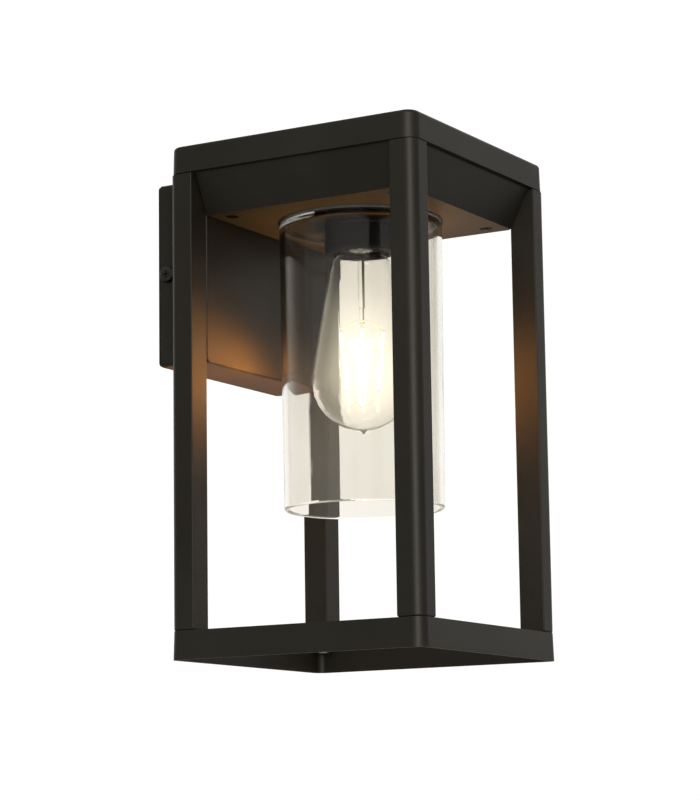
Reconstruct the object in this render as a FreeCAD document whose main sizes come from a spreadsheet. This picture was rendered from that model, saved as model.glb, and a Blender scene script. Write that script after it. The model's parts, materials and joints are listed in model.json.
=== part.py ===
"""Outdoor wall lantern: a square cast-metal frame that hangs from a small wall box, with a clear
glass cylinder round a filament bulb.

Frame: millimetres, +Z up, +X to the right when facing the lantern. The origin is on the wall, at the
centre of the wall box's back, and the lantern stands out from the wall along -Y.
"""

import FreeCAD, Part
import math
import os

import Sketcher
from FreeCAD import Placement, Rotation, Vector

doc = FreeCAD.newDocument("wall_lantern")
sheet = doc.addObject("Spreadsheet::Sheet", "Dimensions")

# ---------------------------------------------------------------------------------------------
# Driving dimensions, in millimetres and degrees
# ---------------------------------------------------------------------------------------------

DIMENSIONS = (
    # the frame as a whole
    ("body_side", 170, "outer side of the square frame"),
    ("axis_out", 104, "lantern axis, out from the wall"),
    ("seam_height", 57, "top of the posts"),
    ("seam_gap", 0.6, "shadow gap between the cap and the posts"),
    ("fit_gap", 0.3, "ordinary clearance between two cast pieces"),
    # top cap
    ("cap_height", 17.5, "seam to the top of the cap"),
    ("cap_wall", 3, "wall of the cap round its mouth"),
    ("cap_ledge", 7, "thicker wall above the gasket"),
    ("cap_roof", 3, "roof of the cap"),
    ("cap_corner", 8, "corner radius of the cap"),
    ("cap_edge", 2.4, "rounding of the cap's top edge"),
    ("cap_draft", 1.5, "casting draft of the cap's sides"),
    ("boss_radius", 5, "screw bosses under the cap's roof"),
    ("gasket_height", 2, "cap gasket"),
    # posts
    ("post_side", 16.4, "section of a corner post"),
    ("post_length", 276, "length of a corner post"),
    ("post_corner", 6.5, "outer corner of a post"),
    ("post_edge", 0.6, "the other three edges of a post"),
    ("post_end", 1.2, "rounding of a post's lower end"),
    ("post_drill", 14, "depth of the tapped hole in each end"),
    # bottom ring
    ("ring_height", 17.2, "height of the bottom ring"),
    ("ring_wall", 2.2, "wall of the bottom ring"),
    ("ring_flare", 1.8, "draft of the ring's outside"),
    ("ring_tab", 2.5, "corner tabs of the ring"),
    # ceiling pan
    ("pan_drop", 24, "seam down to the underside of the ceiling plate"),
    ("pan_plate", 2.5, "thickness of the ceiling plate"),
    ("pan_half", 69.3, "half side of the ceiling plate"),
    ("pan_rim", 81.4, "half side of the slope's upper end"),
    ("pan_mouth", 77.6, "half side inside the rim flange"),
    ("pan_gap", 1, "gap between the pan and a post"),
    ("pan_rebate", 1.2, "shadow gap along the foot of the pan's back wall"),
    ("pan_flange", 81.5, "half side of the rim flange"),
    ("pan_flange_thick", 2.5, "thickness of the rim flange"),
    ("pan_skin", 2.6, "wall of the sloped sides"),
    ("pan_bore", 20.3, "radius of the lampholder hole"),
    ("pan_pad", 8, "thickness of the pan's back wall at the fixing pad"),
    ("pan_pad_half", 44, "half width of the fixing pad"),
    ("ceiling_screw_x", 58, "ceiling screws, from the axis along X"),
    ("ceiling_screw_y", 57.2, "ceiling screws, from the axis along Y"),
    ("ceiling_sink", 4.45, "radius of the countersinks' mouths"),
    ("ceiling_sunk", 0.35, "screw heads above the ceiling plate's underside"),
    # wall box
    ("box_width", 136.6, "width of the wall box, which sits between the rear posts"),
    ("box_height", 113.4, "height of the wall box"),
    ("box_depth", 35.6, "wall to the front of the back panel"),
    ("box_wall", 3, "wall of the wall box"),
    ("box_corner", 3, "corner radius of the wall box"),
    ("box_edge", 2, "corner radius inside the wall box"),
    ("panel_thick", 2, "thickness of the back panel"),
    ("panel_edge", 0.8, "rounding of the back panel's front edge"),
    ("reveal_width", 0.5, "shadow groove between the back panel and the wall box"),
    ("reveal_depth", 0.7, "depth of that groove"),
    ("box_seal", 1.5, "foam seal between box and wall"),
    ("box_seal_inset", 0.8, "the seal lies inside the box's outline"),
    ("box_screw_x", 32, "screws that hold the lantern on its box, along X"),
    ("box_screw_z", 47, "height of those screws and of the lead hole"),
    ("lead_hole", 5, "radius of the hole for the leads"),
    # wall bracket
    ("bracket_plate", 2, "sheet thickness of the bracket"),
    ("bracket_half", 64.7, "half width over the bracket's side ears"),
    ("bracket_arm", 15, "half height of the bracket's cross arm"),
    ("bracket_stem", 20, "half width of the bracket's upright"),
    ("bracket_reach", 49, "half height of the bracket's upright"),
    ("ear_depth", 15, "ears, out from the wall"),
    ("ear_half", 9, "half height of an ear"),
    ("wall_slot_z", 38, "wall slots, up and down from the origin"),
    ("wall_slot_radius", 2.6, "half width of a wall slot"),
    ("wall_slot_run", 4, "half the distance between a slot's end centres"),
    ("cable_hole", 8, "radius of the cable hole in the bracket"),
    ("cable_bore", 4, "radius of the cable grommet's bore"),
    ("grommet_lip", 2, "lip of a grommet beyond its hole"),
    ("grommet_groove", 1.2, "thickness of a grommet's lip"),
    ("lead_lip", 1.3, "lip of the lead grommet, clear of the box's top wall"),
    ("side_screw_out", 7.5, "side screws, out from the wall"),
    # screws
    ("screw_radius", 2, "M4 shank"),
    ("tap_gap", 0.1, "tapped hole beyond its screw"),
    ("csk_head", 3.75, "M4 countersunk head radius"),
    ("csk_depth", 1.75, "M4 countersunk head height"),
    ("csk_length", 13, "M4 countersunk screw, overall"),
    ("pan_head", 4, "M4 pan head radius"),
    ("pan_head_height", 2.6, "M4 pan head height"),
    ("pan_head_round", 1.1, "rounding of a pan head"),
    ("pan_screw_length", 13, "M4 pan head screw, overall"),
    ("side_head", 5, "side screw head radius"),
    ("side_head_height", 2.8, "side screw head height"),
    ("recess_span", 4, "cross recess, tip to tip"),
    ("recess_slot", 0.9, "cross recess, width of each arm"),
    ("recess_depth", 1.4, "cross recess depth"),
    # lampholder
    ("holder_radius", 19.5, "lampholder body"),
    ("holder_mouth", 15.5, "height of the lampholder's mouth"),
    ("holder_top", 51.5, "height of the lampholder's top"),
    ("holder_ceiling", 45.5, "inside top of the lampholder"),
    ("holder_bore", 15.2, "bore round the screw shell"),
    ("holder_flange", 26.5, "radius of the flange above the ceiling plate"),
    ("holder_flange_thick", 2.5, "thickness of that flange"),
    ("holder_screw_out", 23.2, "lampholder screws, from the axis"),
    ("small_screw", 1.25, "M2.5 shank"),
    ("small_head", 2.4, "M2.5 pan head radius"),
    ("small_head_height", 1.6, "M2.5 pan head height"),
    ("small_length", 5, "M2.5 screw, overall"),
    ("small_round", 0.8, "rounding of its head"),
    ("cover_radius", 22.1, "lampholder cover"),
    ("cover_bottom", 12.8, "underside of the lampholder cover"),
    ("cover_wall", 2.2, "wall of the cover"),
    ("cover_lip", 1.6, "thickness of the cover's lip"),
    ("cover_mouth", 17.6, "radius of the opening in the cover"),
    ("cover_round", 3, "rounding of the cover's lower edge"),
    # Edison thread, shared by the holder's shell and the bulb's cap
    ("thread_pitch", 3.629, "pitch of the Edison screw"),
    ("thread_turns", 5, "ridges on the bulb's cap"),
    ("shell_inner", 13.4, "smallest radius inside the holder's shell"),
    ("shell_depth", 1, "height of a ridge of the shell"),
    ("shell_skin", 0.4, "sheet of the shell"),
    ("shell_bottom", 17, "lower end of the holder's shell"),
    ("shell_turns", 6, "ridges of the holder's shell"),
    ("cap_ridge", 13.1, "largest radius of the bulb's cap"),
    ("cap_ridge_depth", 1, "height of a ridge of the bulb's cap"),
    # glass
    ("shade_gasket_thick", 0.8, "gasket under the roof of the glass"),
    ("rim_gasket_thick", 1.2, "gasket between the glass and the ceiling plate"),
    ("rim_gasket_outer", 49.8, "outer radius of that gasket"),
    ("rim_gasket_inner", 43, "inner radius of that gasket"),
    ("glass_top", 50.2, "outer radius of the glass at its top"),
    ("glass_bottom", 48.9, "outer radius of the glass at its mouth"),
    ("glass_height", 177, "height of the glass"),
    ("glass_wall", 3, "wall of the glass"),
    ("glass_roof", 2.8, "closed top of the glass"),
    ("glass_hole", 20.3, "hole in the top of the glass"),
    ("glass_shoulder", 2, "rounding of the glass shoulder"),
    # bulb, an ST64 with a 27 mm Edison screw
    ("bulb_contact", 42.7, "height of the bulb's centre contact"),
    ("bulb_length", 142, "contact to tip"),
    ("bulb_cap_length", 26, "contact to the cap's rim"),
    ("bulb_skirt", 1.6, "plain skirt below the bulb cap's thread"),
    ("bulb_insulator", 8.4, "radius of the insulator"),
    ("bulb_insulator_drop", 3.8, "contact to the insulator's foot"),
    ("bulb_button", 4.6, "radius of the centre contact"),
    ("bulb_rim", 1, "height of the centre contact"),
    ("bulb_neck", 12.2, "neck of the envelope"),
    ("bulb_neck_top", 23, "contact to the top of the neck, inside the cap"),
    ("bulb_neck_drop", 25.6, "contact to the end of the neck"),
    ("bulb_flare", 13.8, "radius where the neck has turned outwards"),
    ("bulb_flare_drop", 29.5, "contact to that point"),
    ("bulb_flare_round", 5.5, "bend out of the neck"),
    ("bulb_shoulder", 15.8, "radius where the shoulder starts"),
    ("bulb_shoulder_drop", 31.5, "contact to the shoulder"),
    ("bulb_throat", 19.3, "radius where the straight flank starts"),
    ("bulb_throat_drop", 38, "contact to the start of the flank"),
    ("bulb_throat_round", 12.3, "bend of the shoulder"),
    ("bulb_waist", 30.7, "radius at the end of the straight flank"),
    ("bulb_waist_drop", 102.5, "contact to the end of the flank"),
    ("bulb_ball", 31.2, "round base of the envelope"),
    ("bulb_base_drop", 139.1, "contact to the foot of the base"),
    ("bulb_pip", 2.2, "radius of the sealed-off pip"),
    ("bulb_skin", 0.9, "wall of the envelope"),
    ("contact_gap", 0.3, "holder's contact to the bulb's contact"),
    ("stem_radius", 2, "glass stem"),
    ("stem_drop", 63.5, "contact to the end of the stem"),
    ("pillar_radius", 1.3, "glass pillar below the stem"),
    ("pillar_drop", 73, "contact to the end of the pillar"),
    ("flare_radius", 10, "foot of the stem's flare"),
    ("filament_radius", 0.9, "LED filament rod"),
    ("filament_top_drop", 77, "contact to the filaments' upper ends"),
    ("filament_bottom_drop", 116, "contact to the filaments' lower ends"),
    ("filament_top_out", 14, "filaments' upper ends, from the axis"),
    ("filament_bottom_out", 9.5, "filaments' lower ends, from the axis"),
    ("filament_count", 4, "LED filaments"),
    ("support_wire", 0.35, "radius of the bulb's support wires"),
    ("flare_drop", 30.5, "contact to the root of the stem's flare"),
    ("filament_turn", 30, "first filament, round the axis from +X"),
    ("hub_drop", 127, "contact to the foot of the hub wire"),
    # wiring
    ("wire_radius", 1.2, "insulated lead"),
    ("lead_pair", 1.4, "leads from the middle of their grommet"),
    ("lead_rise", 3, "small rise of a lead where it turns"),
    ("lead_run", 16, "straight leads in front of the wall box"),
    ("lead_drop", 12, "leads level before they turn down"),
    ("lead_post", 8, "leads into the lampholder, from its axis"),
    ("lead_high", 65.5, "leads under the cap's roof"),
    ("block_width", 32, "terminal block"),
    ("block_height", 17, "terminal block"),
    ("block_depth", 15, "terminal block"),
    ("block_low", 14, "underside of the terminal block"),
    ("block_pitch", 10, "poles of the terminal block"),
    ("block_bore", 1.9, "wire hole of a terminal"),
    ("block_screw", 1.6, "terminal screw"),
    ("block_groove", 5, "depth of the grooves between the poles"),
    ("block_row", 4.25, "terminal screws, from the block's lower and upper ends"),
    ("lead_start", 24, "inner ends of the leads in the block"),
    ("earth_lead_end", 20, "upper end of the earth lead"),
    ("earth_turn", 6, "turn of the earth lead, below the origin"),
    ("lug_straight", 4.5, "straight run of the earth lead out of its lug"),
    ("earth_low", 26, "earth screw, below the origin"),
    ("washer_radius", 4.6, "earth washer"),
    ("washer_thick", 0.8, "earth washer"),
)

for row, (alias, value, note) in enumerate(DIMENSIONS, start=1):
    sheet.set(f"A{row}", note)
    sheet.set(f"B{row}", str(value))
    sheet.setAlias(f"B{row}", alias)
doc.recompute()


class Size:
    """A number together with the sheet expression that it comes from."""

    def __init__(self, value, text):
        self.value = float(value)
        self.text = text

    def joined(self, other, sign, value):
        return Size(value, f"({self.text} {sign} {size(other).text})")

    def __add__(self, other):
        return self.joined(other, "+", self.value + size(other).value)

    def __sub__(self, other):
        return self.joined(other, "-", self.value - size(other).value)

    def __mul__(self, other):
        return self.joined(other, "*", self.value * size(other).value)

    def __truediv__(self, other):
        return self.joined(other, "/", self.value / size(other).value)

    def __radd__(self, other):
        return size(other) + self

    def __rsub__(self, other):
        return size(other) - self

    def __rmul__(self, other):
        return size(other) * self

    def __neg__(self):
        return Size(-self.value, f"(0 - {self.text})")


def size(number):
    """A plain number as a Size; a Size is passed through."""
    return number if isinstance(number, Size) else Size(number, repr(float(number)))


class Sheet:
    """The driving dimensions by name."""

    def __init__(self, rows):
        for alias, value, _ in rows:
            setattr(self, alias, Size(value, f"Dimensions.{alias}"))


d = Sheet(DIMENSIONS)  # short, because nearly every line reads a dimension

# Derived positions
HALF = d.body_side / 2
POST_PLACE = HALF - d.post_side / 2
RING_TOP = d.seam_height - d.post_length
PLATE_UNDER = d.seam_height - d.pan_drop
PLATE_TOP = PLATE_UNDER + d.pan_plate
FLANGE_TOP = d.seam_height + d.pan_flange_thick
LEDGE = FLANGE_TOP + d.gasket_height
AXIS = (size(0), -d.axis_out, size(0))
ORIGIN = (size(0), size(0), size(0))
SIGNS = (-1, 1)
ZERO = 1e-9
TINY = 1e-4

nodes = []


# ---------------------------------------------------------------------------------------------
# Helpers
# ---------------------------------------------------------------------------------------------


def bind(item, prop, number):
    """Set a property from the sheet, and keep it bound to it."""
    item.setExpression(prop, size(number).text)


def place(item, at, rotation=None):
    """Give an object its place, bound to the sheet."""
    item.Placement = Placement(Vector(*(c.value for c in at)), rotation or Rotation())
    for axis, coordinate in zip("xyz", at):
        item.setExpression(f"Placement.Base.{axis}", coordinate.text)


def new_body(name, at=ORIGIN, rotation=None, export=True):
    """A PartDesign body that becomes one node, unless it is only a pattern for copies."""
    body = doc.addObject("PartDesign::Body", name)
    body.Label = name
    place(body, at, rotation)
    if export:
        nodes.append(body)
    return body


def new_sketch(body, role, offset=0):
    """A sketch on one of the body's own origin planes, moved along the plane's normal."""
    sketch = body.newObject("Sketcher::SketchObject", f"{body.Name}_sketch")
    plane = [f for f in body.Origin.OriginFeatures if f.Role == role][0]
    sketch.AttachmentSupport = [(plane, "")]
    sketch.MapMode = "FlatFace"
    offset = size(offset)
    sketch.AttachmentOffset = Placement(Vector(0, 0, offset.value), Rotation())
    sketch.setExpression("AttachmentOffset.Base.z", offset.text)
    return sketch


def hold(sketch, constraint, number):
    """Add a dimension to a sketch, bound to the sheet."""
    index = sketch.addConstraint(constraint)
    sketch.setExpression(f"Constraints[{index}]", number.text)


def pin(sketch, element, point, x, y):
    """Hold one point of a sketch element at (x, y)."""
    for kind, number, axis in (("DistanceX", size(x), -2), ("DistanceY", size(y), -1)):
        if abs(number.value) < ZERO:
            sketch.addConstraint(Sketcher.Constraint("PointOnObject", element, point, axis))
        else:
            hold(sketch, Sketcher.Constraint(kind, -1, 1, element, point, number.value), number)


def pin_height(sketch, element, y):
    """Hold the centre of a half circle that stands on a level line."""
    y = size(y)
    if abs(y.value) < ZERO:
        sketch.addConstraint(Sketcher.Constraint("PointOnObject", element, 3, -1))
    else:
        hold(sketch, Sketcher.Constraint("DistanceY", -1, 1, element, 3, y.value), y)


def hold_radius(sketch, element, radius):
    hold(sketch, Sketcher.Constraint("Radius", element, radius.value), radius)


def arc_between(start, end, radius):
    """The short arc from start to end; a negative radius runs clockwise."""
    middle = (start + end) / 2
    half = (end - start) / 2
    rise = math.sqrt(max(radius * radius - half.Length**2, 0))
    across = Vector(-half.y, half.x, 0).normalize()
    centre = middle + across * (rise if radius > 0 else -rise)
    first, last = (start, end) if radius > 0 else (end, start)
    angles = [math.atan2(p.y - centre.y, p.x - centre.x) for p in (first, last)]
    circle = Part.Circle(centre, Vector(0, 0, 1), abs(radius))
    return Part.ArcOfCircle(circle, angles[0], angles[1])


def outline(sketch, corners):
    """A closed outline. A corner is (x, y), or (x, y, radius) when an arc leads to it."""
    places = [Vector(size(c[0]).value, size(c[1]).value, 0) for c in corners]
    ends = []
    for i, corner in enumerate(corners):
        start, end = places[i - 1], places[i]
        if len(corner) == 3:
            radius = size(corner[2])
            element = sketch.addGeometry(arc_between(start, end, radius.value), False)
            if (end - start).Length / 2 > abs(radius.value) - TINY:
                pin_height(sketch, element, corner[1])
            else:
                hold_radius(sketch, element, radius if radius.value > 0 else -radius)
            ends.append((element, 1, 2) if radius.value > 0 else (element, 2, 1))
        else:
            element = sketch.addGeometry(Part.LineSegment(start, end), False)
            ends.append((element, 1, 2))
        pin(sketch, element, ends[-1][2], corner[0], corner[1])
    for i, (element, first, _) in enumerate(ends):
        before, _, last = ends[i - 1]
        sketch.addConstraint(Sketcher.Constraint("Coincident", before, last, element, first))


def rectangle(sketch, x0, x1, y0, y1):
    outline(sketch, [(x0, y0), (x1, y0), (x1, y1), (x0, y1)])


def rounded_rectangle(sketch, half_x, half_y, radius):
    """A rectangle about the sketch's origin with rounded corners."""
    half_x, half_y, radius = size(half_x), size(half_y), size(radius)
    flat_x, flat_y = half_x - radius, half_y - radius
    outline(
        sketch,
        [
            (flat_x, -half_y),
            (half_x, -flat_y, radius),
            (half_x, flat_y),
            (flat_x, half_y, radius),
            (-flat_x, half_y),
            (-half_x, flat_y, radius),
            (-half_x, -flat_y),
            (-flat_x, -half_y, radius),
        ],
    )


def rounded_square(sketch, half, radius):
    rounded_rectangle(sketch, half, half, radius)


def circle(sketch, x, y, radius):
    radius = size(radius)
    centre = Vector(size(x).value, size(y).value, 0)
    element = sketch.addGeometry(Part.Circle(centre, Vector(0, 0, 1), radius.value), False)
    pin(sketch, element, 3, x, y)
    hold_radius(sketch, element, radius)


def feature(body, kind, **settings):
    """Add a feature, and stop if it failed or changed nothing."""
    before = body.Shape.Volume if body.Tip else 0
    item = body.newObject(f"PartDesign::{kind}", f"{body.Name}_{kind}")
    for prop, value in settings.items():
        if isinstance(value, Size):
            bind(item, prop, value)
        else:
            setattr(item, prop, value)
    body.Tip = item
    doc.recompute()
    if abs(body.Shape.Volume - before) < TINY:
        raise RuntimeError(f"{item.Name} changed nothing")
    return item


def pad(body, sketch, length, **settings):
    return feature(body, "Pad", Profile=sketch, Length=size(length), **settings)


def pocket(body, sketch, length, **settings):
    return feature(body, "Pocket", Profile=sketch, Length=size(length), **settings)


def turn(body, sketch, kind="Revolution"):
    """Spin a sketch on the XZ plane about the body's Z axis."""
    return feature(body, kind, Profile=sketch, ReferenceAxis=(sketch, ["V_Axis"]), Angle=size(360))


def edges_where(item, wanted):
    """Names of the edges whose middle point answers a question."""
    names = []
    for i, edge in enumerate(item.Shape.Edges, start=1):
        middle = edge.valueAt((edge.FirstParameter + edge.LastParameter) / 2)
        if wanted(middle, edge):
            names.append(f"Edge{i}")
    return names


def fillet(body, radius, wanted):
    item = body.Tip
    names = edges_where(item, wanted)
    return feature(body, "Fillet", Base=(item, names), Radius=size(radius))


def near(a, b):
    return abs(a - size(b).value) < TINY * 10


def solid_of_revolution(name, profile, at=AXIS, export=True, rotation=None):
    """A body spun from an outline of (radius, height) corners."""
    body = new_body(name, at, rotation, export)
    sketch = new_sketch(body, "XZ_Plane")
    outline(sketch, profile)
    turn(body, sketch)
    return body


def copies(name, pattern, places):
    """One node of identical pieces: links to a pattern body, each at its own place."""
    links = []
    for at, rotation in places:
        link = doc.addObject("App::Link", f"{name}_copy")
        link.LinkedObject = pattern
        link.LinkTransform = False
        place(link, at, rotation)
        links.append(link)
    group = doc.addObject("Part::Compound", name)
    group.Label = name
    group.Links = links
    nodes.append(group)
    return group


def bent_tube(name, points, radius, bend):
    """A lead along straight runs joined by tangent arcs; its volume is compared with its length."""
    points = [Vector(*(size(c).value for c in p)) for p in points]
    edges = []
    start = points[0]
    for before, corner, after in zip(points, points[1:], points[2:]):
        back = (before - corner).normalize()
        onward = (after - corner).normalize()
        half = (math.pi - back.getAngle(onward)) / 2
        reach = bend.value * math.tan(half)
        first = corner + back * reach
        last = corner + onward * reach
        inward = (back + onward).normalize()
        centre = corner + inward * (bend.value / math.cos(half))
        edges.append(Part.LineSegment(start, first).toShape())
        edges.append(Part.Arc(first, centre - inward * bend.value, last).toShape())
        start = last
    edges.append(Part.LineSegment(start, points[-1]).toShape())
    path = Part.Wire(edges)
    direction = points[1] - points[0]
    section = Part.Wire(Part.makeCircle(radius.value, points[0], direction))
    tube = path.makePipeShell([section], True, False)
    expected = path.Length * math.pi * radius.value**2
    if abs(tube.Volume - expected) > expected / 100:
        raise RuntimeError(f"{name} has the wrong volume")
    item = doc.addObject("Part::Feature", name)
    item.Label = name
    item.Shape = tube
    item.Placement = Placement()
    nodes.append(item)
    return item


# ---------------------------------------------------------------------------------------------
# Screws that several nodes repeat. Each stands on the origin with its head's outer face at z = 0
# and its shank pointing down.
# ---------------------------------------------------------------------------------------------


def cross_recess(body):
    """The cross that takes the screwdriver, cut down from z = 0."""
    arm = d.recess_span / 2
    slot = d.recess_slot / 2
    for x, y in ((arm, slot), (slot, arm)):
        sketch = new_sketch(body, "XY_Plane")
        rectangle(sketch, -x, x, -y, y)
        pocket(body, sketch, d.recess_depth)


def countersunk_screw(name, shank, head, depth, length):
    rim = d.fit_gap
    body = solid_of_revolution(
        name,
        [(0, 0), (0, -length), (shank - rim, -length), (shank, -length + rim * 2),
         (shank, -depth), (head, -rim), (head, 0)],
        ORIGIN,
        export=False,
    )
    cross_recess(body)
    return body


def pan_head_screw(name, shank, head, height, rounding, length):
    rim = d.fit_gap
    body = solid_of_revolution(
        name,
        [(0, 0), (0, -length), (shank - rim, -length), (shank, -length + rim * 2),
         (shank, -height), (head, -height), (head, -rounding), (head - rounding, 0, rounding)],
        ORIGIN,
        export=False,
    )
    cross_recess(body)
    return body


M4_COUNTERSUNK = countersunk_screw(
    "m4_countersunk", d.screw_radius, d.csk_head, d.csk_depth, d.csk_length
)
M4_PAN = pan_head_screw(
    "m4_pan", d.screw_radius, d.pan_head, d.pan_head_height, d.pan_head_round, d.pan_screw_length
)
M4_SIDE = pan_head_screw(
    "m4_side", d.screw_radius, d.side_head, d.side_head_height, d.pan_head_round, d.pan_screw_length
)
SMALL_PAN = solid_of_revolution(
    "small_pan",
    [(0, 0), (0, -d.small_length), (d.small_screw, -d.small_length),
     (d.small_screw, -d.small_head_height), (d.small_head, -d.small_head_height),
     (d.small_head, -d.small_round), (d.small_head - d.small_round, 0, d.small_round)],
    ORIGIN,
    export=False,
)
HEAD_DOWN = Rotation(Vector(1, 0, 0), 180)


# ---------------------------------------------------------------------------------------------
# Corner posts
# ---------------------------------------------------------------------------------------------


def corner_post(side, front):
    """A square bar with a rounded outer corner and a tapped hole in each end."""
    name = f"post_{'front' if front < 0 else 'rear'}_{'left' if side < 0 else 'right'}"
    at = (POST_PLACE * side, -d.axis_out + POST_PLACE * front, RING_TOP)
    body = new_body(name, at)
    half = d.post_side / 2
    sketch = new_sketch(body, "XY_Plane")
    rectangle(sketch, -half, half, -half, half)
    pad(body, sketch, d.post_length)

    def upright(edge):
        return abs(edge.tangentAt(edge.FirstParameter).z) > 1 - TINY

    def outer(p, edge):
        return upright(edge) and p.x * side > 0 and p.y * front > 0

    def other(p, edge):
        """The three upright edges that do not face away from the lantern's axis."""
        past_diagonal = p.x * side + p.y * front > TINY
        return upright(edge) and not past_diagonal

    fillet(body, d.post_corner, outer)
    fillet(body, d.post_edge, other)
    fillet(body, d.post_end, lambda p, edge: near(p.z, 0))
    for level, reverse in ((0, True), (d.post_length, False)):
        sketch = new_sketch(body, "XY_Plane", level)
        circle(sketch, 0, 0, d.screw_radius + d.tap_gap)
        pocket(body, sketch, d.post_drill, Reversed=reverse)
    return body


CORNERS = [(side, front) for front in SIGNS for side in SIGNS]
for side, front in CORNERS:
    corner_post(side, front)


# ---------------------------------------------------------------------------------------------
# Bottom ring: an open band with a tab under each post
# ---------------------------------------------------------------------------------------------


def bottom_ring():
    body = new_body("bottom_ring", (size(0), -d.axis_out, RING_TOP))
    sketch = new_sketch(body, "XY_Plane")
    rounded_square(sketch, HALF, d.post_corner)
    pad(body, sketch, d.ring_height, Reversed=True, TaperAngle=d.ring_flare)
    sketch = new_sketch(body, "XY_Plane")
    rounded_square(sketch, HALF - d.ring_wall, d.post_corner - d.ring_wall)
    pocket(body, sketch, d.ring_height)
    sketch = new_sketch(body, "XY_Plane")
    inner = HALF - d.post_side
    outer = HALF - d.ring_wall / 2
    for side, front in CORNERS:
        reach = d.post_corner
        outline(
            sketch,
            [(inner * side, inner * front), (outer * side, inner * front),
             (outer * side, (outer - reach) * front), ((outer - reach) * side, outer * front),
             (inner * side, outer * front)],
        )
    pad(body, sketch, d.ring_tab, Reversed=True)
    sketch = new_sketch(body, "XY_Plane")
    for side, front in CORNERS:
        circle(sketch, POST_PLACE * side, POST_PLACE * front, d.screw_radius + d.fit_gap)
    pocket(body, sketch, d.ring_tab)
    return body


bottom_ring()
copies(
    "post_screws_bottom",
    M4_PAN,
    [((POST_PLACE * side, -d.axis_out + POST_PLACE * front,
       RING_TOP - d.ring_tab - d.pan_head_height), HEAD_DOWN) for side, front in CORNERS],
)


# ---------------------------------------------------------------------------------------------
# Ceiling pan: a flat plate with sloped sides, a rim flange on the posts and a back wall
# ---------------------------------------------------------------------------------------------


def square_sections(body, levels):
    """Square sketches at several heights, for a loft."""
    sections = []
    for half, height in levels:
        sketch = new_sketch(body, "XY_Plane", height)
        rectangle(sketch, -half, half, -half, half)
        sections.append(sketch)
    return sections


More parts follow.
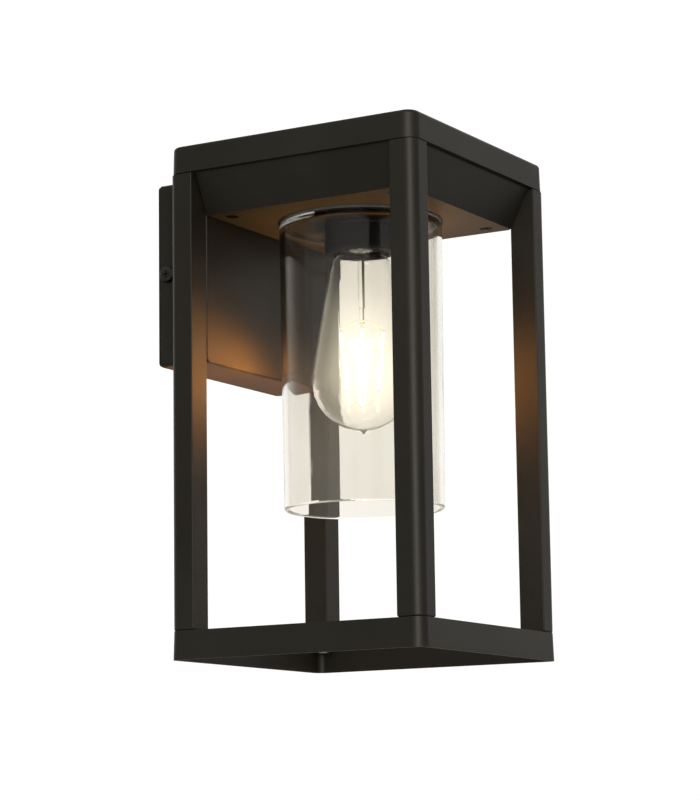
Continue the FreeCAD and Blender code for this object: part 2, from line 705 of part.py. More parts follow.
def ceiling_pan():
    body = new_body("ceiling_pan", (size(0), -d.axis_out, d.seam_height))
    sections = square_sections(
        body,
        [(d.pan_half, -d.pan_drop), (d.pan_rim, size(0))],
    )
    feature(body, "AdditiveLoft", Profile=sections[0], Sections=sections[1:], Ruled=True)
    # rim flange, which also lies on the posts
    sketch = new_sketch(body, "XY_Plane")
    rounded_square(sketch, d.pan_flange, d.post_corner - d.cap_wall)
    pad(body, sketch, d.pan_flange_thick)
    sections = square_sections(
        body,
        [(d.pan_half - d.pan_skin, -d.pan_drop + d.pan_plate),
         (d.pan_mouth, d.pan_flange_thick)],
    )
    feature(body, "SubtractiveLoft", Profile=sections[0], Sections=sections[1:], Ruled=True)
    # solid corners over the posts, then room for the posts below them
    inner = HALF - d.post_side - d.pan_gap
    sketch = new_sketch(body, "XY_Plane")
    edge = d.pan_flange - d.pan_skin
    for side, front in CORNERS:
        rectangle(sketch, *sorted((inner * side, edge * side), key=lambda s: s.value),
                  *sorted((inner * front, edge * front), key=lambda s: s.value))
    pad(body, sketch, d.pan_flange_thick)
    sketch = new_sketch(body, "XY_Plane")
    for side, front in CORNERS:
        rectangle(sketch, *sorted((inner * side, HALF * side), key=lambda s: s.value),
                  *sorted((inner * front, HALF * front), key=lambda s: s.value))
    pocket(body, sketch, d.pan_drop)
    # back wall against the back panel, with a thick pad for the screws and a lip over the box
    face = d.axis_out - d.box_depth
    width = d.box_width / 2
    sketch = new_sketch(body, "XY_Plane", -d.pan_drop)
    rectangle(sketch, -width, width, face - d.pan_skin, d.pan_flange)
    pad(body, sketch, d.pan_drop + d.pan_flange_thick)
    sketch = new_sketch(body, "XY_Plane", -d.pan_drop + d.pan_rebate)
    rectangle(sketch, -d.pan_pad_half, d.pan_pad_half, face - d.pan_pad, face)
    pad(body, sketch, d.pan_drop + d.pan_flange_thick - d.pan_rebate)
    sketch = new_sketch(body, "XY_Plane")
    rectangle(sketch, -width - d.fit_gap, width + d.fit_gap, face, HALF)
    pocket(body, sketch, d.pan_drop)
    sketch = new_sketch(body, "XY_Plane", -d.pan_drop + d.pan_rebate)
    rectangle(sketch, -width - d.fit_gap, width + d.fit_gap, face - d.pan_rebate, face)
    pocket(body, sketch, d.pan_rebate)
    # holes in the pad for the box screws and the leads
    sketch = new_sketch(body, "XZ_Plane", -face)
    height = d.box_screw_z - d.seam_height
    for side in SIGNS:
        circle(sketch, d.box_screw_x * side, height, d.screw_radius + d.tap_gap)
    circle(sketch, 0, height, d.lead_hole)
    pocket(body, sketch, d.pan_pad, Reversed=True)
    # lampholder hole and its two screw holes
    sketch = new_sketch(body, "XY_Plane", -d.pan_drop + d.pan_plate)
    circle(sketch, 0, 0, d.pan_bore)
    for side in SIGNS:
        circle(sketch, d.holder_screw_out * side, 0, d.small_screw + d.tap_gap)
    pocket(body, sketch, d.pan_plate)
    # countersunk holes in the ceiling plate
    sketch = new_sketch(body, "XY_Plane", -d.pan_drop)
    for side, front in CORNERS:
        circle(sketch, d.ceiling_screw_x * side, d.ceiling_screw_y * front, d.screw_radius)
    doc.recompute()
    feature(
        body,
        "Hole",
        Profile=sketch,
        Reversed=True,
        Diameter=(d.screw_radius + d.fit_gap) * 2,
        DepthType="ThroughAll",
        HoleCutType="Countersink",
        HoleCutDiameter=d.ceiling_sink * 2,
        HoleCutCountersinkAngle=size(90),
    )
    # countersunk holes in the corner tabs
    sketch = new_sketch(body, "XY_Plane", d.pan_flange_thick)
    for side, front in CORNERS:
        circle(sketch, POST_PLACE * side, POST_PLACE * front, d.screw_radius)
    doc.recompute()
    feature(
        body,
        "Hole",
        Profile=sketch,
        Diameter=(d.screw_radius + d.fit_gap) * 2,
        Depth=d.pan_flange_thick,
        HoleCutType="Countersink",
        HoleCutDiameter=(d.csk_head + d.fit_gap) * 2,
        HoleCutCountersinkAngle=size(90),
    )
    return body


ceiling_pan()
copies(
    "post_screws_top",
    M4_COUNTERSUNK,
    [((POST_PLACE * side, -d.axis_out + POST_PLACE * front, FLANGE_TOP), None)
     for side, front in CORNERS],
)
copies(
    "ceiling_screws",
    M4_COUNTERSUNK,
    [((d.ceiling_screw_x * side, -d.axis_out + d.ceiling_screw_y * front,
       PLATE_UNDER + d.ceiling_sunk), HEAD_DOWN) for side, front in CORNERS],
)


# ---------------------------------------------------------------------------------------------
# Top cap and its gasket
# ---------------------------------------------------------------------------------------------


def top_cap():
    """A shallow cast tray, mouth down, with four screw bosses."""
    body = new_body("top_cap", (size(0), -d.axis_out, d.seam_height))
    sketch = new_sketch(body, "XY_Plane", d.seam_gap)
    rounded_square(sketch, HALF, d.cap_corner)
    pad(body, sketch, d.cap_height - d.seam_gap, TaperAngle=-d.cap_draft)
    fillet(body, d.cap_edge, lambda p, e: near(p.z, d.cap_height))
    for wall, top in ((d.cap_wall, LEDGE - d.seam_height), (d.cap_ledge, d.cap_height - d.cap_roof)):
        sketch = new_sketch(body, "XY_Plane", top)
        rounded_square(sketch, HALF - wall, d.cap_corner - d.cap_wall)
        pocket(body, sketch, d.cap_height)
    # bosses down to the ceiling plate
    sketch = new_sketch(body, "XY_Plane", -d.pan_drop + d.pan_plate)
    for side, front in CORNERS:
        circle(sketch, d.ceiling_screw_x * side, d.ceiling_screw_y * front, d.boss_radius)
    pad(body, sketch, d.pan_drop - d.pan_plate + d.cap_height - d.cap_roof / 2)
    sketch = new_sketch(body, "XY_Plane", -d.pan_drop + d.pan_plate)
    for side, front in CORNERS:
        circle(sketch, d.ceiling_screw_x * side, d.ceiling_screw_y * front,
               d.screw_radius + d.tap_gap)
    pocket(body, sketch, d.post_drill, Reversed=True)
    return body


def cap_gasket():
    """A foam ring on the pan's rim flange."""
    body = new_body("cap_gasket", (size(0), -d.axis_out, FLANGE_TOP))
    sketch = new_sketch(body, "XY_Plane")
    rounded_square(sketch, d.pan_flange, d.cap_corner - d.cap_wall)
    pad(body, sketch, d.gasket_height)
    sketch = new_sketch(body, "XY_Plane", d.gasket_height)
    rounded_square(sketch, HALF - d.cap_ledge, d.cap_corner - d.cap_wall)
    pocket(body, sketch, d.gasket_height)
    return body


top_cap()
cap_gasket()

# ---------------------------------------------------------------------------------------------
# Wall box, its seal, and the bracket inside it
# ---------------------------------------------------------------------------------------------


BOX_FRONT = d.box_depth - d.panel_thick


def front_holes(body, level, depth):
    """Holes for the screws into the pan, and for the leads."""
    sketch = new_sketch(body, "XZ_Plane", level)
    for side in SIGNS:
        circle(sketch, d.box_screw_x * side, d.box_screw_z, d.screw_radius + d.fit_gap)
    circle(sketch, 0, d.box_screw_z, d.lead_hole)
    pocket(body, sketch, depth)


def wall_box():
    """A cast box, open towards the wall, with a groove behind the back panel."""
    body = new_body("wall_box")
    groove = BOX_FRONT - d.reveal_width
    for inset, start, end in (
        (size(0), d.box_seal, groove),
        (d.reveal_depth, groove, BOX_FRONT),
    ):
        sketch = new_sketch(body, "XZ_Plane", start)
        rounded_rectangle(
            sketch, d.box_width / 2 - inset, d.box_height / 2 - inset, d.box_corner - inset
        )
        pad(body, sketch, end - start)
    sketch = new_sketch(body, "XZ_Plane", d.box_seal)
    rounded_rectangle(
        sketch, d.box_width / 2 - d.box_wall, d.box_height / 2 - d.box_wall, d.box_edge
    )
    pocket(body, sketch, BOX_FRONT - d.box_seal - d.box_wall, Reversed=True)
    front_holes(body, BOX_FRONT, d.box_wall)
    # holes for the side screws
    sketch = new_sketch(body, "YZ_Plane", d.box_width / 2)
    circle(sketch, -d.side_screw_out, 0, d.screw_radius + d.fit_gap)
    pocket(body, sketch, d.box_width)
    return body


def back_panel():
    """A flat plate over the box's front, level with the front faces of the rear posts."""
    body = new_body("back_panel", (size(0), -BOX_FRONT, size(0)))
    sketch = new_sketch(body, "XZ_Plane")
    rounded_rectangle(sketch, d.box_width / 2, d.box_height / 2, d.box_corner)
    pad(body, sketch, d.panel_thick)
    fillet(body, d.panel_edge, lambda p, e: near(p.y, -d.panel_thick))
    front_holes(body, d.panel_thick, d.panel_thick)
    return body


def wall_seal():
    """A flat foam frame between the box's rim and the wall."""
    body = new_body("wall_seal")
    sketch = new_sketch(body, "XZ_Plane")
    inset = d.box_seal_inset
    rounded_rectangle(
        sketch, d.box_width / 2 - inset, d.box_height / 2 - inset, d.box_corner - inset
    )
    pad(body, sketch, d.box_seal)
    sketch = new_sketch(body, "XZ_Plane", d.box_seal)
    rounded_rectangle(
        sketch, d.box_width / 2 - d.box_wall, d.box_height / 2 - d.box_wall, d.box_edge
    )
    pocket(body, sketch, d.box_seal)
    return body


def wall_bracket():
    """A pressed-steel cross with two bent ears, two wall slots and a cable hole."""
    body = new_body("wall_bracket")
    for x, z in ((d.bracket_stem, d.bracket_reach), (d.bracket_half, d.bracket_arm)):
        sketch = new_sketch(body, "XZ_Plane")
        rounded_rectangle(sketch, x, z, d.bracket_plate)
        pad(body, sketch, d.bracket_plate)
    sketch = new_sketch(body, "XZ_Plane")
    for side in SIGNS:
        xs = sorted(
            (d.bracket_half * side, (d.bracket_half - d.bracket_plate) * side),
            key=lambda s: s.value,
        )
        rectangle(sketch, *xs, -d.ear_half, d.ear_half)
    pad(body, sketch, d.ear_depth)
    # wall slots, cable hole and tapped earth hole
    sketch = new_sketch(body, "XZ_Plane", d.bracket_plate)
    r, run = d.wall_slot_radius, d.wall_slot_run
    for side in SIGNS:
        z = d.wall_slot_z * side
        outline(sketch, [(r, z + run), (-r, z + run, r), (-r, z - run), (r, z - run, r)])
    circle(sketch, 0, 0, d.cable_hole)
    circle(sketch, 0, -d.earth_low, d.screw_radius + d.tap_gap)
    pocket(body, sketch, d.bracket_plate)
    # tapped holes in the ears
    sketch = new_sketch(body, "YZ_Plane", d.bracket_half)
    circle(sketch, -d.side_screw_out, 0, d.screw_radius + d.tap_gap)
    pocket(body, sketch, d.bracket_half * 2)
    return body


BOX_INSIDE = BOX_FRONT - d.box_wall
OUT_OF_WALL = Rotation(Vector(1, 0, 0), 90)
INTO_WALL = Rotation(Vector(1, 0, 0), -90)

wall_box()
back_panel()
wall_seal()
wall_bracket()
copies(
    "side_screws",
    M4_SIDE,
    [(((d.box_width / 2 + d.side_head_height) * side, -d.side_screw_out, size(0)),
      Rotation(Vector(0, 1, 0), 90 * side)) for side in SIGNS],
)
copies(
    "box_screws",
    M4_PAN,
    [((d.box_screw_x * side, d.pan_head_height - BOX_INSIDE, d.box_screw_z), INTO_WALL)
     for side in SIGNS],
)
solid_of_revolution(
    "cable_grommet",
    [(d.cable_bore, 0), (d.cable_hole, 0), (d.cable_hole, d.bracket_plate),
     (d.cable_hole + d.grommet_lip, d.bracket_plate),
     (d.cable_hole + d.grommet_lip, d.bracket_plate + d.grommet_groove),
     (d.cable_bore + d.grommet_lip, d.bracket_plate + d.grommet_groove * 3),
     (d.cable_bore, d.bracket_plate + d.grommet_groove * 3)],
    ORIGIN,
    rotation=OUT_OF_WALL,
)
LEAD_PASSAGE = d.box_wall + d.panel_thick + d.pan_pad
solid_of_revolution(
    "lead_grommet",
    [(d.lead_hole - d.grommet_lip, -d.grommet_groove),
     (d.lead_hole + d.lead_lip, -d.grommet_groove),
     (d.lead_hole + d.lead_lip, 0), (d.lead_hole - d.fit_gap, 0),
     (d.lead_hole - d.fit_gap, LEAD_PASSAGE), (d.lead_hole - d.grommet_lip, LEAD_PASSAGE)],
    (size(0), -BOX_INSIDE, d.box_screw_z),
    rotation=OUT_OF_WALL,
)


# ---------------------------------------------------------------------------------------------
# Terminal block and earth point on the bracket
# ---------------------------------------------------------------------------------------------

BLOCK_PLACE = (size(0), -d.bracket_plate, d.block_low)
WIRE_OUT = d.block_depth / 2
POLES = (-1, 0, 1)


def terminal_block():
    """Three insulated poles side by side, each with a wire hole and two screw holes."""
    body = new_body("terminal_block", BLOCK_PLACE)
    sketch = new_sketch(body, "XZ_Plane")
    rectangle(sketch, -d.block_width / 2, d.block_width / 2, 0, d.block_height)
    pad(body, sketch, d.block_depth)
    # grooves between the poles
    sketch = new_sketch(body, "XZ_Plane", d.block_depth)
    for side in SIGNS:
        middle = d.block_pitch / 2 * side
        rectangle(sketch, middle - d.washer_thick, middle + d.washer_thick, 0, d.block_height)
    pocket(body, sketch, d.block_groove)
    sketch = new_sketch(body, "XY_Plane")
    for pole in POLES:
        circle(sketch, d.block_pitch * pole, -WIRE_OUT, d.block_bore + d.washer_thick)
    pocket(body, sketch, d.block_height, Reversed=True)
    sketch = new_sketch(body, "XZ_Plane", d.block_depth)
    for pole in POLES:
        for level in (d.block_row, d.block_height - d.block_row):
            circle(sketch, d.block_pitch * pole, level, d.block_screw + d.tap_gap)
    pocket(body, sketch, d.block_depth / 2)
    return body


terminal_block()
SLEEVE = solid_of_revolution(
    "sleeve",
    [(d.block_bore, 0), (d.block_bore + d.washer_thick, 0),
     (d.block_bore + d.washer_thick, d.block_height), (d.block_bore, d.block_height)],
    ORIGIN,
    export=False,
)
copies(
    "terminal_sleeves",
    SLEEVE,
    [((d.block_pitch * pole, -d.bracket_plate - WIRE_OUT, d.block_low), None) for pole in POLES],
)
GRUB = new_body("grub", export=False)
grub_sketch = new_sketch(GRUB, "XY_Plane")
circle(grub_sketch, 0, 0, d.block_screw)
GRUB_LENGTH = d.block_depth / 2 - d.block_bore - d.washer_thick - d.recess_slot
pad(GRUB, grub_sketch, GRUB_LENGTH, Reversed=True)
grub_sketch = new_sketch(GRUB, "XY_Plane")
rectangle(grub_sketch, -d.block_screw, d.block_screw, -d.recess_slot / 4, d.recess_slot / 4)
pocket(GRUB, grub_sketch, d.recess_slot)
copies(
    "terminal_screws",
    GRUB,
    [((d.block_pitch * pole, -d.bracket_plate - d.block_depth + d.recess_slot,
       d.block_low + level), OUT_OF_WALL)
     for pole in POLES for level in (d.block_row, d.block_height - d.block_row)],
)

EARTH_SCREW = pan_head_screw(
    "m4_earth", d.screw_radius, d.pan_head, d.pan_head_height, d.pan_head_round,
    d.pan_head_height + d.washer_thick + d.bracket_plate,
)
copies(
    "earth_screw",
    EARTH_SCREW,
    [((size(0), -(d.bracket_plate + d.washer_thick + d.pan_head_height), -d.earth_low), OUT_OF_WALL)],
)


LUG_OUT = d.wire_radius + d.washer_thick


def earth_lug():
    """A ring terminal: a flat ring under the screw head and a barrel for the lead."""
    body = new_body("earth_lug", (size(0), -d.bracket_plate, -d.earth_low))
    sketch = new_sketch(body, "XZ_Plane")
    circle(sketch, 0, 0, d.washer_radius)
    circle(sketch, 0, 0, d.screw_radius + d.fit_gap)
    pad(body, sketch, d.washer_thick)
    sketch = new_sketch(body, "XY_Plane", d.washer_radius - d.fit_gap)
    circle(sketch, 0, -LUG_OUT, d.wire_radius + d.washer_thick / 2)
    pad(body, sketch, d.washer_radius)
    return body


earth_lug()


# ---------------------------------------------------------------------------------------------
# Lampholder
# ---------------------------------------------------------------------------------------------


def wave(mean, low, depth, half_turns, way):
    """Corners of a rolled thread's section: equal arcs that swing out and in about a mean radius."""
    chord = d.thread_pitch / 2
    sag = depth / 2
    radius = chord * chord / (sag * 8) + sag / 2
    corners = [(mean, low if way > 0 else low + chord * half_turns)]
    for i in range(1, half_turns + 1):
        step = i if way > 0 else half_turns - i
        outward = (i % 2 == 1) if way > 0 else ((half_turns - i) % 2 == 0)
        swing = radius if outward == (way > 0) else -radius
        corners.append((mean, low + chord * step, swing))
    return corners


def lampholder_body():
    """The insulating body: a cup for the screw shell, with a flange that lies on the ceiling plate."""
    body = new_body("lampholder_body", AXIS)
    sketch = new_sketch(body, "XZ_Plane")
    outline(
        sketch,
        [(0, d.holder_ceiling), (d.holder_bore, d.holder_ceiling), (d.holder_bore, d.holder_mouth),
         (d.holder_radius, d.holder_mouth), (d.holder_radius, PLATE_TOP),
         (d.holder_flange, PLATE_TOP), (d.holder_flange, PLATE_TOP + d.holder_flange_thick),
         (d.holder_radius, PLATE_TOP + d.holder_flange_thick),
         (d.holder_radius, d.holder_top - d.cap_edge),
         (d.holder_radius - d.cap_edge, d.holder_top, d.cap_edge), (0, d.holder_top)],
    )
    turn(body, sketch)
    sketch = new_sketch(body, "XY_Plane", PLATE_TOP + d.holder_flange_thick)
    for side in SIGNS:
        circle(sketch, d.holder_screw_out * side, 0, d.small_screw + d.tap_gap)
    pocket(body, sketch, d.holder_flange_thick)
    return body


lampholder_body()
copies(
    "lampholder_screws",
    SMALL_PAN,
    [((d.holder_screw_out * side, -d.axis_out,
       PLATE_TOP + d.holder_flange_thick + d.small_head_height), None) for side in SIGNS],
)
SHELL_MEAN = d.shell_inner + d.shell_depth / 2
SHELL_HALF_TURNS = int(d.shell_turns.value) * 2
solid_of_revolution(
    "screw_shell",
    wave(SHELL_MEAN + d.shell_skin, d.shell_bottom, d.shell_depth, SHELL_HALF_TURNS, 1)
    + wave(SHELL_MEAN, d.shell_bottom, d.shell_depth, SHELL_HALF_TURNS, -1),
)


def centre_contact():
    """A bent spring strip above the bulb's contact."""
    body = new_body("centre_contact", AXIS)
    low = d.bulb_contact + d.contact_gap
    strip = d.shell_skin
    reach = d.shell_inner / 2
    sketch = new_sketch(body, "XZ_Plane", -reach / 3)
    outline(
        sketch,
        [(-reach, d.holder_ceiling), (-reach, d.holder_ceiling - strip),
         (-reach / 2, low), (reach / 2, low), (reach / 2, low + strip),
         (-reach / 3, low + strip), (-reach * 2 / 3, d.holder_ceiling)],
    )
    pad(body, sketch, reach * 2 / 3)
    return body


centre_contact()
GLASS_TOP = PLATE_UNDER - d.rim_gasket_thick
COVER_TOP = GLASS_TOP - d.glass_roof - d.shade_gasket_thick
solid_of_revolution(
    "lampholder_cover",
    [(d.cover_mouth, d.cover_bottom), (d.cover_radius - d.cover_round, d.cover_bottom),
     (d.cover_radius, d.cover_bottom + d.cover_round, d.cover_round), (d.cover_radius, COVER_TOP),
     (d.cover_radius - d.cover_wall, COVER_TOP),
     (d.cover_radius - d.cover_wall, d.cover_bottom + d.cover_lip),
     (d.cover_mouth, d.cover_bottom + d.cover_lip)],
)


# ---------------------------------------------------------------------------------------------
# Glass shade and its two gaskets
# ---------------------------------------------------------------------------------------------


def flat_ring(name, inner, outer, thick, height):
    """A gasket about the lantern's axis."""
    solid_of_revolution(
        name,
        [(inner, height), (outer, height), (outer, height + thick), (inner, height + thick)],
    )


flat_ring("shade_gasket_upper", d.rim_gasket_inner, d.rim_gasket_outer, d.rim_gasket_thick,
          GLASS_TOP)
flat_ring("shade_gasket_lower", d.glass_hole, d.cover_radius, d.shade_gasket_thick, COVER_TOP)


def glass_shade():
    """A slightly tapered cylinder with a holed top and a fire-polished rim."""
    wall = d.glass_wall
    low = GLASS_TOP - d.glass_height
    rim = wall / 2
    body = new_body("glass_shade", AXIS)
    sketch = new_sketch(body, "XZ_Plane")
    outline(
        sketch,
        [(d.glass_hole, GLASS_TOP), (d.glass_hole, GLASS_TOP - d.glass_roof),
         (d.glass_top - wall - d.glass_shoulder, GLASS_TOP - d.glass_roof),
         (d.glass_top - wall, GLASS_TOP - d.glass_roof - d.glass_shoulder, -d.glass_shoulder),
         (d.glass_bottom - wall, low + rim), (d.glass_bottom, low + rim, rim),
         (d.glass_top, GLASS_TOP - d.glass_shoulder),
         (d.glass_top - d.glass_shoulder, GLASS_TOP, d.glass_shoulder)],
    )
    turn(body, sketch)
    return body


glass_shade()


# ---------------------------------------------------------------------------------------------
# Bulb. Heights are measured down from its centre contact.
# ---------------------------------------------------------------------------------------------


def below(drop):
    """Height of a point of the bulb."""
    return d.bulb_contact - drop


def envelope_side(skin):
    """The envelope's outline from neck to base, moved in by a wall's thickness."""
    return [
        (d.bulb_neck - skin, below(d.bulb_neck_top)),
        (d.bulb_neck - skin, below(d.bulb_neck_drop)),
        (d.bulb_flare - skin, below(d.bulb_flare_drop), d.bulb_flare_round + skin),
        (d.bulb_shoulder - skin, below(d.bulb_shoulder_drop)),
        (d.bulb_throat - skin, below(d.bulb_throat_drop), skin - d.bulb_throat_round),
        (d.bulb_waist - skin, below(d.bulb_waist_drop)),
    ]


def bulb_glass():
    """A thin envelope: short neck, long straight flank, round base and a sealed-off pip."""
    body = new_body("bulb_glass", AXIS)
    sketch = new_sketch(body, "XZ_Plane")
    skin = d.bulb_skin
    inside = [(size(0), below(d.bulb_base_drop) + skin)]
    # the same outline run upwards: each arc's radius changes sign and moves to its other end
    radius = skin - d.bulb_ball
    for corner in reversed(envelope_side(skin)):
        inside.append(corner[:2] if radius is None else (*corner[:2], -radius))
        radius = corner[2] if len(corner) == 3 else None
    outline(
        sketch,
        envelope_side(size(0))
        + [(d.bulb_pip, below(d.bulb_base_drop), -d.bulb_ball), (size(0), below(d.bulb_length))]
        + inside,
    )
    turn(body, sketch)
    return body


def bulb_cap():
    """The rolled brass shell, open at the neck and closed in to a rim round the insulator."""
    mean = d.cap_ridge - d.cap_ridge_depth / 2
    low = below(d.bulb_cap_length) + d.bulb_skirt
    half_turns = int(d.thread_turns.value) * 2
    rim = below(d.bulb_insulator_drop)
    solid_of_revolution(
        "bulb_cap",
        [(mean, below(d.bulb_cap_length))]
        + wave(mean, low, d.cap_ridge_depth, half_turns, 1)
        + [(d.bulb_insulator, rim), (d.bulb_insulator - d.shell_skin, rim)]
        + wave(mean - d.shell_skin, low, d.cap_ridge_depth, half_turns, -1)
        + [(mean - d.shell_skin, below(d.bulb_cap_length))],
    )


bulb_glass()
bulb_cap()
solid_of_revolution(
    "bulb_insulator",
    [(0, below(d.bulb_insulator_drop)), (d.bulb_insulator, below(d.bulb_insulator_drop)),
     (d.bulb_button + d.bulb_rim, below(d.bulb_rim)), (0, below(d.bulb_rim))],
)
solid_of_revolution(
    "bulb_contact",
    [(0, below(d.bulb_rim - d.tap_gap)), (d.bulb_button, below(d.bulb_rim - d.tap_gap)),
     (d.bulb_button, below(d.bulb_rim / 2)), (d.bulb_button - d.bulb_rim / 2, below(size(0)),
                                             d.bulb_rim / 2), (0, below(size(0)))],
)
solid_of_revolution(
    "bulb_stem",
    [(0, below(d.pillar_drop)), (d.pillar_radius, below(d.pillar_drop)),
     (d.pillar_radius, below(d.stem_drop)), (d.stem_radius, below(d.stem_drop)),
     (d.stem_radius, below(d.flare_drop)), (d.flare_radius, below(d.bulb_neck_drop)),
     (d.flare_radius - d.bulb_skin, below(d.bulb_neck_drop)),
     (0, below(d.flare_drop - d.stem_radius))],
)


def around(radius, degrees):
    """A point about the lantern's axis."""
    angle = math.radians(degrees)
    return radius * math.cos(angle), -d.axis_out + radius * math.sin(angle)


FILAMENT_ANGLES = [
    d.filament_turn.value + 360 * i / d.filament_count.value
    for i in range(int(d.filament_count.value))
]
FILAMENT_DROP = d.filament_bottom_drop - d.filament_top_drop
FILAMENT_IN = d.filament_top_out - d.filament_bottom_out
FILAMENT_TILT = math.degrees(math.atan2(FILAMENT_IN.value, FILAMENT_DROP.value))
ROD = new_body("rod", export=False)
rod_sketch = new_sketch(ROD, "XY_Plane")
circle(rod_sketch, 0, 0, d.filament_radius)
pad(ROD, rod_sketch, FILAMENT_DROP, Reversed=True)
copies(
    "bulb_filaments",
    ROD,
    [((*around(d.filament_top_out, angle), below(d.filament_top_drop)),
      Rotation(Vector(0, 0, 1), angle) * Rotation(Vector(0, 1, 0), FILAMENT_TILT))
     for angle in FILAMENT_ANGLES],
)


def bulb_supports():
    """Wires from the pillar to the filaments' upper ends, and from a hub wire to the lower ends."""
    upper = below(d.pillar_drop) + d.stem_radius
    hub = below(d.hub_drop)
    gap = d.support_wire * 2
    runs = [((*around(size(0), 0), hub), (*around(size(0), 0), below(d.pillar_drop)))]
    for angle in FILAMENT_ANGLES:
        runs.append(((*around(d.pillar_radius + gap / 2, angle), upper),
                     (*around(d.filament_top_out, angle), below(d.filament_top_drop) + gap)))
        runs.append(((*around(gap, angle), hub + gap * 2),
                     (*around(d.filament_bottom_out - gap, angle),
                      below(d.filament_bottom_drop) - gap)))
    solids = []
    for start, end in runs:
        start, end = (Vector(*(c.value for c in p)) for p in (start, end))
        solids.append(Part.makeCylinder(d.support_wire.value, (end - start).Length, start, end - start))
    item = doc.addObject("Part::Feature", "bulb_supports")
    item.Label = "bulb_supports"
    item.Shape = Part.makeCompound(solids)
    item.Placement = Placement()
    nodes.append(item)


bulb_supports()


# ---------------------------------------------------------------------------------------------
# Internal leads, each held at both ends
# ---------------------------------------------------------------------------------------------

WIRE_Y = -d.bracket_plate - WIRE_OUT
LEAD_BEND = d.wire_radius * 6
for name, side in (("live_lead", -1), ("neutral_lead", 1)):
    pair = d.lead_pair * side
    post = d.lead_post * side
    bent_tube(
        name,
        [
            (d.block_pitch * side, WIRE_Y, d.lead_start),
            (d.block_pitch * side, WIRE_Y, d.box_screw_z - d.lead_rise),
            (pair, WIRE_Y - d.lead_drop, d.box_screw_z),
            (pair, -d.box_depth - d.lead_run, d.box_screw_z),
            (post, -d.axis_out + d.lead_drop * 2, d.lead_high),
            (post, -d.axis_out, d.lead_high),
            (post, -d.axis_out, d.holder_top),
        ],
        d.wire_radius,
        LEAD_BEND,
    )
LUG_END = -d.earth_low + d.washer_radius * 2 - d.fit_gap
bent_tube(
    "earth_lead",
    [
        (size(0), -d.bracket_plate - LUG_OUT, LUG_END),
        (size(0), -d.bracket_plate - LUG_OUT, LUG_END + d.lug_straight),
        (size(0), WIRE_Y, -d.earth_turn),
        (size(0), WIRE_Y, d.earth_lead_end),
    ],
    d.wire_radius,
    LEAD_BEND,
)

# ---------------------------------------------------------------------------------------------
# Write
# ---------------------------------------------------------------------------------------------

doc.recompute()
for item in doc.Objects:
    if {"Invalid", "Error"} & set(item.State):
        raise RuntimeError(f"{item.Name} is {item.State}")
os.makedirs("parts", exist_ok=True)
for node in nodes:
    shape = node.Shape
    if shape.isNull() or not shape.isValid():
        raise RuntimeError(f"{node.Label} has no valid shape")
    shape.exportStep(f"parts/{node.Label}.step")
    box = shape.optimalBoundingBox(False)
    print(node.Label, len(shape.Solids), round(shape.Volume),
          [round(c, 1) for c in (box.XMin, box.XMax, box.YMin, box.YMax, box.ZMin, box.ZMax)])
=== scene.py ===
"""Outdoor wall lantern: a matt black cast frame round a clear glass shade and a lit bulb."""

import json
import math

import bmesh
import bpy
from mathutils import Matrix, Vector


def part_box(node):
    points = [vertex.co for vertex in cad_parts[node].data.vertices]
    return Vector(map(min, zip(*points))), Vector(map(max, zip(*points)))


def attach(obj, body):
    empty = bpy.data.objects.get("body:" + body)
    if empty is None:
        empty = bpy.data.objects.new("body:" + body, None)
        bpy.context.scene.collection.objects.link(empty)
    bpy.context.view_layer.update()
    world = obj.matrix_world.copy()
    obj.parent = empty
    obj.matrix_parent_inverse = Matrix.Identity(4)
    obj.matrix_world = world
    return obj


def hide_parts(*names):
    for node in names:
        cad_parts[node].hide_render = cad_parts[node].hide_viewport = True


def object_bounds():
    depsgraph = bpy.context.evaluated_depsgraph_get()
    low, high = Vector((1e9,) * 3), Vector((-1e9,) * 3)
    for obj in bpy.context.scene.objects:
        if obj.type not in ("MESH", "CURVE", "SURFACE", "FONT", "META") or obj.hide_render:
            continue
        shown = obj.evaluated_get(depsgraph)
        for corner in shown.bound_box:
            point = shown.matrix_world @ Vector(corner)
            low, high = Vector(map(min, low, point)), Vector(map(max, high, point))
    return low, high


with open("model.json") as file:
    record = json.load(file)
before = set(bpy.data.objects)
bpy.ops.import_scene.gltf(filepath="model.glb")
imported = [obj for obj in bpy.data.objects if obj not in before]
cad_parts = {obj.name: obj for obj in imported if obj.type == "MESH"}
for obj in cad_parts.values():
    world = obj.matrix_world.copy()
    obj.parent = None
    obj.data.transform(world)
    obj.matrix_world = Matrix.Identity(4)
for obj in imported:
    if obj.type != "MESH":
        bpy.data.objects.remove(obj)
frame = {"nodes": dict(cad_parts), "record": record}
NODES = frame["nodes"]
CAD_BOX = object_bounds()
SLOT_OF = {p["node"]: p["material_slot"] for p in frame["record"]["subparts"]}

MM = 0.001

# painted faint light in the bulb's glass: its level, how far it reaches from there, its strength,
# and the strength that stays up to the neck, where it fades between two heights
GLOW_LEVEL, GLOW_REACH, GLOW_STRENGTH = -55 * MM, 45 * MM, 0.13
NECK_GLOW, NECK_FADE = 0.035, (-22 * MM, 8.25 * MM)
# how far the bulb's glass may turn from square on before its painted glow fades, and is gone
SQUARE_ON, TURNED_AWAY = 0.02, 0.4

# painted light that the wall of the glass shade carries down to its rim, and the band that shows
# it
RIM_GLOW, RIM_BAND = 0.34, (2 * MM, 4 * MM)
# painted stray light in the lower part of the shade's wall, and the heights over the rim where it
# fades
PAINTED_HAZE, PAINTED_HAZE_FADE = 0.02, (40 * MM, 110 * MM)

# a normal's height where a face starts to count as looking down, and where it fully does
SIDEWAYS, DOWNWARD = -0.2, -0.9

# nearly all values of a noise lie between these, and those of the mean of two between the next
NOISE_LOW, NOISE_HIGH = 0.3, 0.7
MEAN_LOW, MEAN_HIGH = 0.38, 0.62


# --- shader building ---------------------------------------------------------------------------


